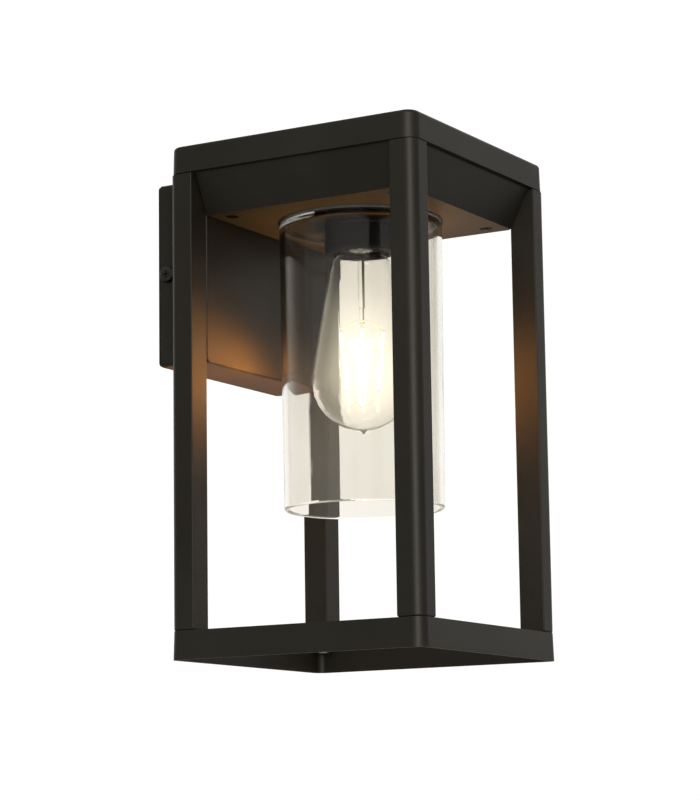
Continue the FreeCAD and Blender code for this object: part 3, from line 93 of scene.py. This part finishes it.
class Shader:
    """A material whose nodes are added one call at a time, all in the object's own metres."""

    def __init__(self, name):
        self.material = bpy.data.materials.new(name)
        self.material.use_nodes = True
        self.tree = self.material.node_tree
        self.tree.nodes.clear()
        self.output = self.add("ShaderNodeOutputMaterial")
        self.surface = self.add("ShaderNodeBsdfPrincipled")
        self.link(self.surface.outputs["BSDF"], self.output.inputs["Surface"])
        self.where = self.add("ShaderNodeTexCoord").outputs["Object"]

    def add(self, kind, **settings):
        node = self.tree.nodes.new(kind)
        for key, value in settings.items():
            setattr(node, key, value)
        return node

    def link(self, source, target):
        self.tree.links.new(source, target)

    def feed(self, socket, value):
        """Links a node's output to a socket, or sets the socket's own value."""
        if isinstance(value, bpy.types.NodeSocket):
            self.link(value, socket)
        else:
            socket.default_value = value

    def set(self, **inputs):
        """Sets or links the surface's sockets, named with underscores for spaces."""
        for key, value in inputs.items():
            self.feed(self.surface.inputs[key.replace("_", " ")], value)

    def stretched(self, x=1.0, y=1.0, z=1.0):
        """The position, scaled along each axis."""
        node = self.add("ShaderNodeMapping")
        self.link(self.where, node.inputs["Vector"])
        node.inputs["Scale"].default_value = (x, y, z)
        return node.outputs["Vector"]

    def noise(self, scale, detail=3.0, rough=0.55, at=None):
        node = self.add("ShaderNodeTexNoise")
        self.link(at or self.where, node.inputs["Vector"])
        node.inputs["Scale"].default_value = scale
        node.inputs["Detail"].default_value = detail
        node.inputs["Roughness"].default_value = rough
        return node.outputs["Fac"]

    def cells(self, scale):
        """Distance to the middle of the nearest cell."""
        node = self.add("ShaderNodeTexVoronoi")
        self.link(self.where, node.inputs["Vector"])
        node.inputs["Scale"].default_value = scale
        return node.outputs["Distance"]

    def component(self, axis, vector=None):
        """One component of a vector, which is the position by default."""
        node = self.add("ShaderNodeSeparateXYZ")
        self.link(vector or self.where, node.inputs["Vector"])
        return node.outputs[axis]

    def ranged(self, value, low, high, start=0.0, end=1.0):
        """The value carried from start..end to low..high, and held there beyond them."""
        node = self.add("ShaderNodeMapRange")
        self.feed(node.inputs["Value"], value)
        node.inputs["From Min"].default_value = start
        node.inputs["From Max"].default_value = end
        node.inputs["To Min"].default_value = low
        node.inputs["To Max"].default_value = high
        return node.outputs["Result"]

    def maths(self, operation, a, b=0.0):
        node = self.add("ShaderNodeMath", operation=operation)
        self.feed(node.inputs[0], a)
        self.feed(node.inputs[1], b)
        return node.outputs["Value"]

    def times(self, a, b):
        return self.maths("MULTIPLY", a, b)

    def mean(self, a, b):
        return self.times(self.maths("ADD", a, b), 0.5)

    def colours(self, value, *stops):
        """A colour ramp over (place, (r, g, b)) stops."""
        node = self.add("ShaderNodeValToRGB")
        self.feed(node.inputs["Fac"], value)
        band = node.color_ramp
        while len(band.elements) < len(stops):
            band.elements.new(0.5)
        for element, (place, rgb) in zip(band.elements, stops):
            element.position = place
            element.color = (*rgb, 1.0)
        return node.outputs["Color"]

    def bump(self, height, distance, strength, over=None):
        node = self.add("ShaderNodeBump")
        self.link(height, node.inputs["Height"])
        node.inputs["Distance"].default_value = distance
        node.inputs["Strength"].default_value = strength
        if over is not None:
            self.link(over, node.inputs["Normal"])
        return node.outputs["Normal"]

    def facing_down(self):
        """1 on faces that look straight down, 0 on upright ones."""
        rise = self.component("Z", self.add("ShaderNodeNewGeometry").outputs["Normal"])
        return self.ranged(rise, 0.0, 1.0, SIDEWAYS, DOWNWARD)

    def glow_in_glass(self):
        """Painted stray light in the lit bulb's glass, strongest at the filaments' level."""
        height = self.component("Z")
        away = self.maths("ABSOLUTE", self.maths("SUBTRACT", height, GLOW_LEVEL))
        turned = self.add("ShaderNodeLayerWeight").outputs["Facing"]
        near = self.ranged(away, 1.0, 0.0, 0.0, GLOW_REACH)
        middle = self.ranged(turned, 1.0, 0.0, SQUARE_ON, TURNED_AWAY)
        below_neck = self.ranged(height, 1.0, 0.0, *NECK_FADE)
        glow = self.times(self.times(near, middle), GLOW_STRENGTH)
        return self.maths("ADD", glow, self.times(below_neck, NECK_GLOW))

    def lets_lamps_through(self):
        """Light from lamps passes straight on, so what is behind the glass is lit."""
        clear = self.add("ShaderNodeBsdfTransparent")
        clear.inputs["Color"].default_value = LAMP_LIGHT_LEFT
        path = self.add("ShaderNodeLightPath")
        mixed = self.add("ShaderNodeMixShader")
        self.link(path.outputs["Is Shadow Ray"], mixed.inputs["Fac"])
        self.link(self.surface.outputs["BSDF"], mixed.inputs[1])
        self.link(clear.outputs["BSDF"], mixed.inputs[2])
        self.link(mixed.outputs["Shader"], self.output.inputs["Surface"])


# --- materials, one for each slot of the record ------------------------------------------------

# what a pane leaves of a lamp's light, and the painted light of the filaments on what is next to
# them
LAMP_LIGHT_LEFT = (0.94, 0.93, 0.9, 1.0)
FILAMENT_LIGHT = (1.0, 0.86, 0.62, 1.0)
# the powder coat's share of its fine grain in its tone, beside the slow clouds
GRAIN_SHARE = 0.55


def powder_coat():
    """Fine-textured matt powder coat, black with a warm cast."""
    s = Shader("black_cast")
    grain = s.noise(2100.0, detail=2.0, rough=0.6)
    orange_peel = s.noise(420.0, detail=2.0)
    cloud = s.noise(14.0, detail=4.0)
    tint = s.maths("ADD", s.times(grain, GRAIN_SHARE), s.times(cloud, 1 - GRAIN_SHARE))
    # painted shade: faces that look down get a lower specular level, so they read darker and
    # duller
    down = s.facing_down()
    s.set(
        Base_Color=s.colours(
            tint,
            (0.36, (0.0085, 0.0076, 0.0054)),
            (0.5, (0.0125, 0.0112, 0.0082)),
            (0.66, (0.0195, 0.0178, 0.0136)),
        ),
        Roughness=s.ranged(s.maths("ADD", grain, cloud), 0.4, 0.52, 0.7, 1.3),
        Specular_IOR_Level=s.ranged(down, 0.46, 0.16),
        Specular_Tint=(1.0, 0.93, 0.8, 1.0),
        Normal=s.bump(grain, 0.00013, 0.5, over=s.bump(orange_peel, 0.0004, 0.1)),
    )
    return s.material


def foam():
    s = Shader("foam")
    pores = s.cells(1500.0)
    s.set(
        Base_Color=s.colours(pores, (0.1, (0.006, 0.006, 0.006)), (0.7, (0.03, 0.03, 0.031))),
        Roughness=s.ranged(pores, 0.8, 0.98),
        Specular_IOR_Level=0.2,
        Normal=s.bump(pores, 0.0003, 0.8),
    )
    return s.material


def silicone():
    s = Shader("silicone")
    haze = s.noise(260.0, detail=3.0)
    s.set(
        Base_Color=s.colours(haze, (0.35, (0.2, 0.23, 0.26)), (0.65, (0.28, 0.32, 0.35))),
        Roughness=s.ranged(haze, 0.28, 0.45),
        Subsurface_Weight=0.35,
        Subsurface_Radius=(0.002, 0.0017, 0.0014),
        Normal=s.bump(haze, 0.0001, 0.3),
    )
    return s.material


def metal(
    name, dark, light, roughness, along=(1.0, 1.0, 1.0), coat=0.0, painted_shade_below=None, glow=0.0
):
    """A metal whose fine marks run along the axis with the small factor.

    below is painted shade, its darker colour on faces that look down, where it differs; glow is
    painted light, the share of a lit neighbour's light that it sends on as emission."""
    s = Shader(name)
    marks = s.noise(900.0, detail=4.0, at=s.stretched(*along))
    stain = s.noise(90.0, detail=3.0)
    tone = s.mean(marks, stain)
    stops = [(MEAN_LOW, dark), (MEAN_HIGH, light)]
    # painted shade: on faces that look down the tone drops to the darker first colour
    if painted_shade_below:
        tone = s.times(tone, s.ranged(s.facing_down(), 1.0, 0.0))
        stops.insert(0, (0.1, painted_shade_below))
    s.set(
        Base_Color=s.colours(tone, *stops),
        Metallic=1.0,
        Roughness=s.ranged(marks, *roughness, NOISE_LOW, NOISE_HIGH),
        Coat_Weight=coat,
        Emission_Color=FILAMENT_LIGHT,
        Emission_Strength=glow,
        Normal=s.bump(marks, 0.00004, 0.35),
    )
    return s.material


def plastic(name, dark, light, roughness, grain_scale=700.0, grain_height=0.00006, specular=0.5):
    """A moulded plastic with a faint spark-eroded grain and slow changes of tone."""
    s = Shader(name)
    grain = s.noise(grain_scale, detail=3.0, rough=0.6)
    flow = s.noise(45.0, detail=2.0, at=s.stretched(1.0, 1.0, 0.4))
    s.set(
        Base_Color=s.colours(s.mean(grain, flow), (MEAN_LOW, dark), (MEAN_HIGH, light)),
        Roughness=s.ranged(grain, *roughness, NOISE_LOW, NOISE_HIGH),
        Specular_IOR_Level=specular,
        Normal=s.bump(grain, grain_height, 0.5),
    )
    return s.material


def drawn_glass():
    """Clear glass tube with the faint lengthwise streaks of drawing."""
    s = Shader("clear_glass")
    streaks = s.noise(130.0, detail=4.0, rough=0.6, at=s.stretched(1.0, 1.0, 0.03))
    wave = s.noise(16.0, detail=2.0)
    dust = s.noise(900.0, detail=3.0)
    height = s.maths("SUBTRACT", s.component("Z"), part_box("glass_shade")[0].z)
    # painted light: an emission band on the rim's faces that look down
    rim_only = s.times(s.facing_down(), s.ranged(height, 1.0, 0.0, *RIM_BAND))
    # painted light: a faint emission low in the shade's wall, fading upwards
    haze = s.ranged(height, PAINTED_HAZE, 0.0, *PAINTED_HAZE_FADE)
    s.set(
        Base_Color=s.colours(wave, (0.3, (0.86, 0.84, 0.795)), (0.7, (0.9, 0.882, 0.842))),
        Transmission_Weight=1.0,
        IOR=1.38,
        Roughness=s.ranged(dust, 0.0, 0.022, 0.5, 0.75),
        Emission_Color=(1.0, 0.96, 0.8, 1.0),
        Emission_Strength=s.maths("ADD", s.times(rim_only, RIM_GLOW), haze),
        Normal=s.bump(streaks, 0.00022, 0.35, over=s.bump(wave, 0.0008, 0.25)),
    )
    s.lets_lamps_through()
    return s.material


def blown_glass():
    """Thin blown glass of the bulb."""
    s = Shader("bulb_glass")
    wave = s.noise(60.0, detail=3.0, at=s.stretched(1.0, 1.0, 0.35))
    haze = s.noise(500.0, detail=2.0)
    s.set(
        Base_Color=s.colours(haze, (0.3, (0.985, 0.978, 0.955)), (0.7, (0.995, 0.99, 0.975))),
        Transmission_Weight=1.0,
        IOR=1.3,
        Roughness=s.ranged(haze, 0.0, 0.012, 0.45, 0.8),
        Normal=s.bump(wave, 0.0004, 0.35),
        Emission_Color=(1.0, 0.93, 0.72, 1.0),
        Emission_Strength=s.glow_in_glass(),
    )
    s.lets_lamps_through()
    return s.material


def phosphor():
    """Lit silicone phosphor, brightest where the chips sit under it."""
    s = Shader("filament")
    chips = s.noise(1400.0, detail=1.0, at=s.stretched(0.15, 0.15, 1.0))
    skin = s.noise(2600.0, detail=2.0)
    s.set(
        Base_Color=s.colours(skin, (0.3, (0.95, 0.62, 0.25)), (0.7, (1.0, 0.74, 0.38))),
        Roughness=s.ranged(skin, 0.35, 0.55),
        Emission_Color=s.colours(chips, (0.3, (1.0, 0.66, 0.34)), (0.7, (1.0, 0.74, 0.44))),
        Emission_Strength=s.ranged(chips, 16.0, 24.0, NOISE_LOW, NOISE_HIGH),
        Normal=s.bump(skin, 0.0001, 0.4),
    )
    return s.material


# the yellow stripe begins between these distances from the lead's middle plane
STRIPE_EDGE = (0.55 * MM, 0.68 * MM)
# sockets of a Mix node that hold colours
COLOUR_A, COLOUR_B, COLOUR_MIXED = 6, 7, 2


def earth_stripes():
    """Green insulation with a yellow stripe down each side."""
    s = Shader("earth_pvc")
    stripe = s.ranged(s.maths("ABSOLUTE", s.component("X")), 0.0, 1.0, *STRIPE_EDGE)
    grain = s.noise(900.0)
    green = s.colours(grain, (0.3, (0.08, 0.24, 0.045)), (0.7, (0.11, 0.31, 0.06)))
    yellow = s.colours(grain, (0.3, (0.68, 0.56, 0.05)), (0.7, (0.78, 0.66, 0.08)))
    mix = s.add("ShaderNodeMix", data_type="RGBA")
    s.link(stripe, mix.inputs["Factor"])
    s.link(green, mix.inputs[COLOUR_A])
    s.link(yellow, mix.inputs[COLOUR_B])
    s.set(
        Base_Color=mix.outputs[COLOUR_MIXED],
        Roughness=s.ranged(grain, 0.3, 0.42),
        Normal=s.bump(grain, 0.00005, 0.4),
    )
    return s.material


BRIGHT_STEEL = ((0.5, 0.5, 0.49), (0.72, 0.73, 0.74))
WARM_BRASS = ((0.5, 0.35, 0.13), (0.8, 0.62, 0.3))
NICKEL = ((0.5, 0.47, 0.42), (0.74, 0.71, 0.66))
SATIN_BLACK = ((0.012, 0.0116, 0.0108), (0.0145, 0.014, 0.0131))

LOOKS = {
    "black_cast": powder_coat(),
    "foam": foam(),
    "silicone": silicone(),
    "black_screw": metal(
        "black_screw",
        (0.05, 0.049, 0.045),
        (0.13, 0.127, 0.12),
        (0.4, 0.6),
        coat=0.02,
        # painted shade on the faces of the screws that look down
        painted_shade_below=(0.003, 0.003, 0.003),
    ),
    "zinc_steel": metal("zinc_steel", *BRIGHT_STEEL, (0.28, 0.46), along=(0.08, 1.0, 1.0)),
    "black_rubber": plastic(
        "black_rubber", (0.01, 0.01, 0.01), (0.024, 0.024, 0.024), (0.7, 0.9), specular=0.25
    ),
    "white_polyamide": plastic(
        "white_polyamide", (0.7, 0.68, 0.62), (0.84, 0.83, 0.79), (0.35, 0.5)
    ),
    "brass": metal("brass", *WARM_BRASS, (0.24, 0.42), along=(1.0, 1.0, 0.15)),
    "black_bakelite": plastic(
        "black_bakelite", *SATIN_BLACK, (0.5, 0.52), 900.0, 0.000002, specular=0.3
    ),
    "clear_glass": drawn_glass(),
    "bulb_glass": blown_glass(),
    "bulb_brass": metal("bulb_brass", *NICKEL, (0.18, 0.34), along=(1.0, 1.0, 0.3)),
    "filament": phosphor(),
    "support_wire": metal(
        # painted light: the support wires and ferrules glow in the filaments' colour
        "support_wire", *BRIGHT_STEEL, (0.2, 0.35), along=(1.0, 1.0, 0.05), glow=0.7
    ),
    "live_pvc": plastic("live_pvc", (0.1, 0.042, 0.02), (0.17, 0.078, 0.04), (0.28, 0.4)),
    "neutral_pvc": plastic("neutral_pvc", (0.02, 0.06, 0.24), (0.035, 0.1, 0.36), (0.28, 0.4)),
    "earth_pvc": earth_stripes(),
}

for name, node in NODES.items():
    node.data.materials.clear()
    node.data.materials.append(LOOKS[SLOT_OF[name]])


# --- pieces of the lamp ------------------------------------------------------------------------


def piece(name, mesh, body, slot, replaces=()):
    """Puts a finished bmesh into the scene as a smooth piece that rides on a body."""
    data = bpy.data.meshes.new(name)
    mesh.normal_update()
    mesh.to_mesh(data)
    mesh.free()
    obj = bpy.data.objects.new(name, data)
    bpy.context.scene.collection.objects.link(obj)
    data.materials.append(LOOKS[slot])
    for face in data.polygons:
        face.use_smooth = True
    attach(obj, body)
    if replaces:
        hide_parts(*replaces)
    return obj


AXIS = Vector((0.0, (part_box("glass_shade")[0].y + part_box("glass_shade")[1].y) / 2, 0.0))
FULL_TURN = 2 * math.pi


def skin_rows(mesh, rows, close=False):
    """Joins rings of points with quads; close joins the last ring to the first."""
    rings = [[mesh.verts.new(point) for point in row] for row in rows]
    following = rings[1:] + (rings[:1] if close else [])
    for a, b in zip(rings, following):
        for j in range(len(a)):
            k = (j + 1) % len(a)
            mesh.faces.new((a[j], a[k], b[k], b[j]))
    return rings


# Edison thread: pitch, half the height of its ridges, and the sheet it is rolled from
PITCH, SWING, SHEET = 3.629 * MM, 0.5 * MM, 0.4 * MM
THREAD_SIDES = 96
THREAD_STEP = 0.24 * MM
# height over which the thread rises out of the plain sheet
RUN_IN = 1.1 * MM
# the cap's rounded shoulder, and the plain sheet left at the thread's ends on cap and shell
CAP_SHOULDER, SHOULDER_STEPS = 2.5 * MM, 6
CAP_LIP, SHOULDER_OVERLAP, SHELL_LIP = 1.2 * MM, 0.3 * MM, 0.4 * MM


def threaded_sheet(name, body, slot, node, path, threaded):
    """A tube of thin sheet with a rolled right-hand thread between two heights.

    path is the tube's outline as (radius, height) of its outer face, foot first."""
    low, high = threaded
    outline = []
    for (r0, z0), (r1, z1) in zip(path, path[1:]):
        count = max(2, round(math.hypot(r1 - r0, z1 - z0) / THREAD_STEP))
        outline += [(r0 + (r1 - r0) * i / count, z0 + (z1 - z0) * i / count) for i in range(count)]
    outline.append(path[-1])
    slopes = []
    for i in range(len(outline)):
        (r0, z0), (r1, z1) = outline[max(i - 1, 0)], outline[min(i + 1, len(outline) - 1)]
        length = math.hypot(r1 - r0, z1 - z0)
        slopes.append(((z1 - z0) / length, (r0 - r1) / length))

    def ring(i, depth):
        r, z = outline[i]
        out_r, out_z = slopes[i]
        strength = max(0.0, min(1.0, (z - low) / RUN_IN, (high - z) / RUN_IN))
        strength = strength * strength * (3 - 2 * strength)
        row = []
        for j in range(THREAD_SIDES):
            turn = FULL_TURN * j / THREAD_SIDES
            swing = SWING * strength * math.cos(FULL_TURN * z / PITCH - turn)
            radius = r + swing - depth * out_r
            row.append(
                AXIS
                + Vector((radius * math.cos(turn), radius * math.sin(turn), z - depth * out_z))
            )
        return row

    mesh = bmesh.new()
    count = len(outline)
    rows = [ring(i, 0.0) for i in range(count)] + [ring(i, SHEET) for i in reversed(range(count))]
    skin_rows(mesh, rows, close=True)
    bmesh.ops.recalc_face_normals(mesh, faces=mesh.faces)
    return piece(name, mesh, body, slot, [node])


def lamp_cap():
    """The lamp's threaded cap, drawn in to a rim round the insulator."""
    low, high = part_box("bulb_cap")
    mean = high.x - SWING
    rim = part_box("bulb_insulator")[1].x
    shoulder = high.z - CAP_SHOULDER
    path = [(mean, low.z), (mean, shoulder)]
    for i in range(1, SHOULDER_STEPS + 1):
        t = math.pi / 2 * i / SHOULDER_STEPS
        path.append((rim + (mean - rim) * math.cos(t), shoulder + CAP_SHOULDER * math.sin(t)))
    thread = (low.z + CAP_LIP, shoulder + SHOULDER_OVERLAP)
    threaded_sheet("lamp_cap", "bulb", "bulb_brass", "bulb_cap", path, thread)


def holder_shell():
    """The lampholder's threaded shell, one clearance outside the cap all the way up."""
    low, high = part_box("screw_shell")
    mean = high.x - SWING
    path = [(mean, low.z), (mean, high.z)]
    thread = (low.z + SHELL_LIP, high.z - SHELL_LIP)
    threaded_sheet("holder_shell", "lantern", "brass", "screw_shell", path, thread)


ROD_COUNT, ROD_FIRST = 4, math.radians(30)
ROD_RADIUS = 0.9 * MM
ROD_SIDES = 18
# distance of a rod's ends from the bulb's axis, and from the ends of the filaments' box
ROD_TOP_OUT, ROD_FOOT_OUT = 13.1 * MM, 9.4 * MM
ROD_INSET = 0.2 * MM
# faint beads down each rod, where chips lie under the coat
BEADS, ROWS_PER_BEAD = 26, 4
BEAD_SWELL, COAT_INSET = 0.035 * MM, 0.09 * MM
# ferrules: their length, the share of it over which they show past the rod, and their wall
FERRULE, FERRULE_SHOWS, GRIP = 1.9 * MM, 0.7, 0.12 * MM


def rod_lines():
    """(upper end, lower end, outward direction) of each filament."""
    low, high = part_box("bulb_filaments")
    lines = []
    for i in range(ROD_COUNT):
        turn = ROD_FIRST + FULL_TURN * i / ROD_COUNT
        out = Vector((math.cos(turn), math.sin(turn), 0.0))
        top = AXIS + out * ROD_TOP_OUT + Vector((0.0, 0.0, high.z - ROD_INSET))
        foot = AXIS + out * ROD_FOOT_OUT + Vector((0.0, 0.0, low.z + ROD_INSET))
        lines.append((top, foot, out))
    return lines


def rod_rings(top, foot, out, profile):
    """Rings about a filament's line; profile is (distance down the line, radius)."""
    along = (foot - top).normalized()
    across = along.cross(out).normalized()
    other = along.cross(across)
    rows = []
    for reach, radius in profile:
        row = []
        for j in range(ROD_SIDES):
            turn = FULL_TURN * j / ROD_SIDES
            row.append(
                top + along * reach + (across * math.cos(turn) + other * math.sin(turn)) * radius
            )
        rows.append(row)
    return rows


def capped(mesh, rows):
    rings = skin_rows(mesh, rows)
    mesh.faces.new(rings[0][::-1])
    mesh.faces.new(rings[-1])


def filaments():
    """Four coated rods that lean in towards the tip, each with a metal ferrule at both ends."""
    rods, ferrules = bmesh.new(), bmesh.new()
    ferrule_shape = [
        (0.0, 0.3 * MM),
        (GRIP, 0.62 * MM),
        (0.4 * MM, ROD_RADIUS - GRIP / 2),
        (FERRULE - 0.15 * MM, ROD_RADIUS),
        (FERRULE, ROD_RADIUS - GRIP),
        (FERRULE, ROD_RADIUS - 3 * GRIP),
    ]
    for top, foot, out in rod_lines():
        length = (foot - top).length
        start, end = FERRULE * FERRULE_SHOWS, length - FERRULE * FERRULE_SHOWS
        profile = []
        for i in range(BEADS * ROWS_PER_BEAD + 1):
            t = i / (BEADS * ROWS_PER_BEAD)
            swell = BEAD_SWELL * math.cos(FULL_TURN * BEADS * t)
            profile.append((start + (end - start) * t, ROD_RADIUS - COAT_INSET + swell))
        capped(rods, rod_rings(top, foot, out, profile))
        for at, way in ((0.0, 1.0), (length, -1.0)):
            profile = [(at + way * reach, radius) for reach, radius in ferrule_shape]
            capped(ferrules, rod_rings(top, foot, out, profile))
    for mesh in (rods, ferrules):
        bmesh.ops.recalc_face_normals(mesh, faces=mesh.faces)
    piece("filament_rods", rods, "bulb", "filament", ["bulb_filaments"])
    piece("filament_ferrules", ferrules, "bulb", "support_wire")


lamp_cap()
holder_shell()
filaments()


# --- stage, light and camera -------------------------------------------------------------------

low, high = CAD_BOX
centre = (low + high) / 2

FLOOR_DROP, FLOOR_HALF, FLOOR_CELLS = 0.42, 6.0, 8


def pale_floor():
    """A plain floor under the lantern, which hangs well clear of it."""
    mesh = bmesh.new()
    bmesh.ops.create_grid(mesh, x_segments=FLOOR_CELLS, y_segments=FLOOR_CELLS, size=FLOOR_HALF)
    data = bpy.data.meshes.new("floor")
    mesh.to_mesh(data)
    mesh.free()
    floor = bpy.data.objects.new("floor", data)
    floor.location = (centre.x, centre.y, low.z - FLOOR_DROP)
    bpy.context.scene.collection.objects.link(floor)
    paper = Shader("pale_paper")
    fleck = paper.noise(40.0, detail=3.0)
    paper.set(
        Base_Color=paper.colours(fleck, (0.3, (0.7, 0.7, 0.69)), (0.7, (0.74, 0.74, 0.73))),
        Roughness=0.9,
        Specular_IOR_Level=0.1,
    )
    data.materials.append(paper.material)


pale_floor()


DIM = 0.27
ROOM_TINT = (1.0, 0.985, 0.955, 1.0)
# bright lobes: direction, cosines from it where the light starts and is full, and its gain
BACKDROP = ((0.853, 0.497, 0.16), 0.32, 0.94, 1.06 - DIM)
FRONT = ((-0.8, -0.6, 0.06), 0.35, 0.98, 0.2)


def studio():
    """A white backdrop behind the lantern and a soft white wall before it, in a dim room."""
    world = bpy.data.worlds.new("studio")
    bpy.context.scene.world = world
    world.use_nodes = True
    tree = world.node_tree
    tree.nodes.clear()
    place = tree.nodes.new("ShaderNodeTexCoord")
    level = tree.nodes.new("ShaderNodeValue").outputs["Value"]
    level.default_value = DIM
    for direction, start, full, gain in (BACKDROP, FRONT):
        facing = tree.nodes.new("ShaderNodeVectorMath")
        facing.operation = "DOT_PRODUCT"
        facing.inputs[1].default_value = direction
        tree.links.new(place.outputs["Generated"], facing.inputs[0])
        lobe = tree.nodes.new("ShaderNodeMapRange")
        lobe.interpolation_type = "SMOOTHSTEP"
        lobe.inputs["From Min"].default_value = start
        lobe.inputs["From Max"].default_value = full
        lobe.inputs["To Max"].default_value = gain
        tree.links.new(facing.outputs["Value"], lobe.inputs["Value"])
        total = tree.nodes.new("ShaderNodeMath")
        tree.links.new(lobe.outputs["Result"], total.inputs[0])
        tree.links.new(level, total.inputs[1])
        level = total.outputs["Value"]
    back = tree.nodes.new("ShaderNodeBackground")
    back.inputs["Color"].default_value = ROOM_TINT
    tree.links.new(level, back.inputs["Strength"])
    out = tree.nodes.new("ShaderNodeOutputWorld")
    tree.links.new(back.outputs["Background"], out.inputs["Surface"])


studio()


def soft_light(name, where, power, size, mirrored=True):
    """A rectangular lamp that points at the lantern; mirrored lamps show in glossy surfaces."""
    data = bpy.data.lights.new(name, "AREA")
    data.shape = "RECTANGLE"
    data.size, data.size_y = size
    data.energy = power
    obj = bpy.data.objects.new(name, data)
    bpy.context.scene.collection.objects.link(obj)
    obj.location = where
    aim = centre - Vector(where)
    obj.rotation_mode = "QUATERNION"
    obj.rotation_quaternion = aim.to_track_quat("-Z", "Y")
    obj.visible_glossy = obj.visible_transmission = mirrored
    return obj


LAMP_RADIUS = 12 * MM
# share of a glow that is left beyond its steeper tilt
STEEP_SHARE = 0.02
# level direction from the front-right post to the rear-left one
POST_TO_POST = (-0.665, 0.747, 0.0)


def warm_glow(name, height, energy, tint, tilts, shares):
    """The bulb's warm light from one height.

    It falls from full to almost none between two tilts (sines) off the level plane; shares are
    (place, level) pairs from the front-right post, 0, round to the rear-left post, 1."""
    data = bpy.data.lights.new(name, "POINT")
    data.shadow_soft_size = LAMP_RADIUS
    data.energy = energy
    data.color = tint
    data.use_nodes = True
    tree = data.node_tree
    way = tree.nodes.new("ShaderNodeTexCoord").outputs["Normal"]
    split = tree.nodes.new("ShaderNodeSeparateXYZ")
    tree.links.new(way, split.inputs["Vector"])
    tilt = tree.nodes.new("ShaderNodeMath")
    tilt.operation = "ABSOLUTE"
    tree.links.new(split.outputs["Z"], tilt.inputs[0])
    band = tree.nodes.new("ShaderNodeMapRange")
    band.interpolation_type = "SMOOTHSTEP"
    band.inputs["From Min"].default_value, band.inputs["From Max"].default_value = tilts
    band.inputs["To Min"].default_value = 1.0
    band.inputs["To Max"].default_value = STEEP_SHARE
    tree.links.new(tilt.outputs["Value"], band.inputs["Value"])
    diagonal = tree.nodes.new("ShaderNodeVectorMath")
    diagonal.operation = "DOT_PRODUCT"
    diagonal.inputs[1].default_value = POST_TO_POST
    tree.links.new(way, diagonal.inputs[0])
    turn = tree.nodes.new("ShaderNodeMapRange")
    turn.inputs["From Min"].default_value = -1.0
    tree.links.new(diagonal.outputs["Value"], turn.inputs["Value"])
    share = tree.nodes.new("ShaderNodeValToRGB")
    steps = share.color_ramp.elements
    while len(steps) < len(shares):
        steps.new(0.5)
    for step, (place, level) in zip(steps, shares):
        step.position = place
        step.color = (level, level, level, 1.0)
    tree.links.new(turn.outputs["Result"], share.inputs["Fac"])
    product = tree.nodes.new("ShaderNodeMath")
    product.operation = "MULTIPLY"
    tree.links.new(band.outputs["Result"], product.inputs[0])
    tree.links.new(share.outputs["Color"], product.inputs[1])
    tree.links.new(product.outputs["Value"], tree.nodes["Emission"].inputs["Strength"])
    obj = bpy.data.objects.new(name, data)
    bpy.context.scene.collection.objects.link(obj)
    obj.location = AXIS + Vector((0.0, 0.0, height))
    obj.visible_camera = obj.visible_glossy = obj.visible_transmission = False
    return obj


def lights_only(lamp, names):
    """Keeps a lamp's light on the named nodes."""
    lit = bpy.data.collections.new(lamp.name + "_receivers")
    for name in names:
        lit.objects.link(NODES[name])
    lamp.light_linking.receiver_collection = lit


soft_light("key", where=(0.9, -1.5, 0.7), power=0.8, size=(0.9, 1.2), mirrored=False)
front_box = soft_light("front_box", where=(-1.62, -1.1, 0.25), power=18.0, size=(1.1, 1.6))
# the glass would show this box as a haze over the bulb
lights_only(front_box, [name for name, slot in SLOT_OF.items() if slot == "black_cast"])

ORANGE, AMBER = (1.0, 0.4, 0.08), (1.0, 0.58, 0.24)
warm_glow(
    "rods_glow",
    height=-66 * MM,
    energy=14.0,
    tint=ORANGE,
    tilts=(0.0, 0.58),
    shares=((0.0, 0.5), (0.1, 0.34), (0.3, 0.12), (0.8, 0.16), (0.9, 0.34), (0.97, 1.0)),
)
warm_glow(
    "base_glow",
    height=-88 * MM,
    energy=1.0,
    tint=ORANGE,
    tilts=(0.0, 1.3),
    shares=((0.0, 0.5), (1.0, 1.0)),
)
plate_glow = warm_glow(
    "plate_glow",
    height=-20 * MM,
    energy=3.1,
    tint=AMBER,
    tilts=(0.0, 6.0),
    shares=((0.0, 1.0), (0.6, 0.8), (1.0, 0.5)),
)
lights_only(plate_glow, ["ceiling_pan"])
# the underside of the wall box glows, and the panel over it hardly does
panel_glow = warm_glow(
    "panel_glow",
    height=-140 * MM,
    energy=11.5,
    tint=ORANGE,
    tilts=(0.2, 1.6),
    shares=((0.0, 1.0), (1.0, 1.0)),
)
lights_only(panel_glow, ["wall_box"])

LENS, SENSOR, SIGHT = 122.686, 36.0, 50.0
EYE = Vector((-1.42139, -0.92355, -0.34401))
RIGHT = Vector((0.50569, -0.862596, -0.014308))
UP = Vector((-0.13123, -0.093303, 0.986951))


def add_camera():
    """A long lens, low to the left of the lantern's front."""
    data = bpy.data.cameras.new("camera")
    data.sensor_width = SENSOR
    data.lens = LENS
    data.clip_end = SIGHT
    camera = bpy.data.objects.new("camera", data)
    bpy.context.scene.collection.objects.link(camera)
    facing = Matrix((RIGHT, UP, RIGHT.cross(UP))).transposed()
    camera.matrix_world = Matrix.Translation(EYE) @ facing.to_4x4()
    bpy.context.scene.camera = camera
    bpy.context.scene.view_settings.view_transform = "Standard"


add_camera()
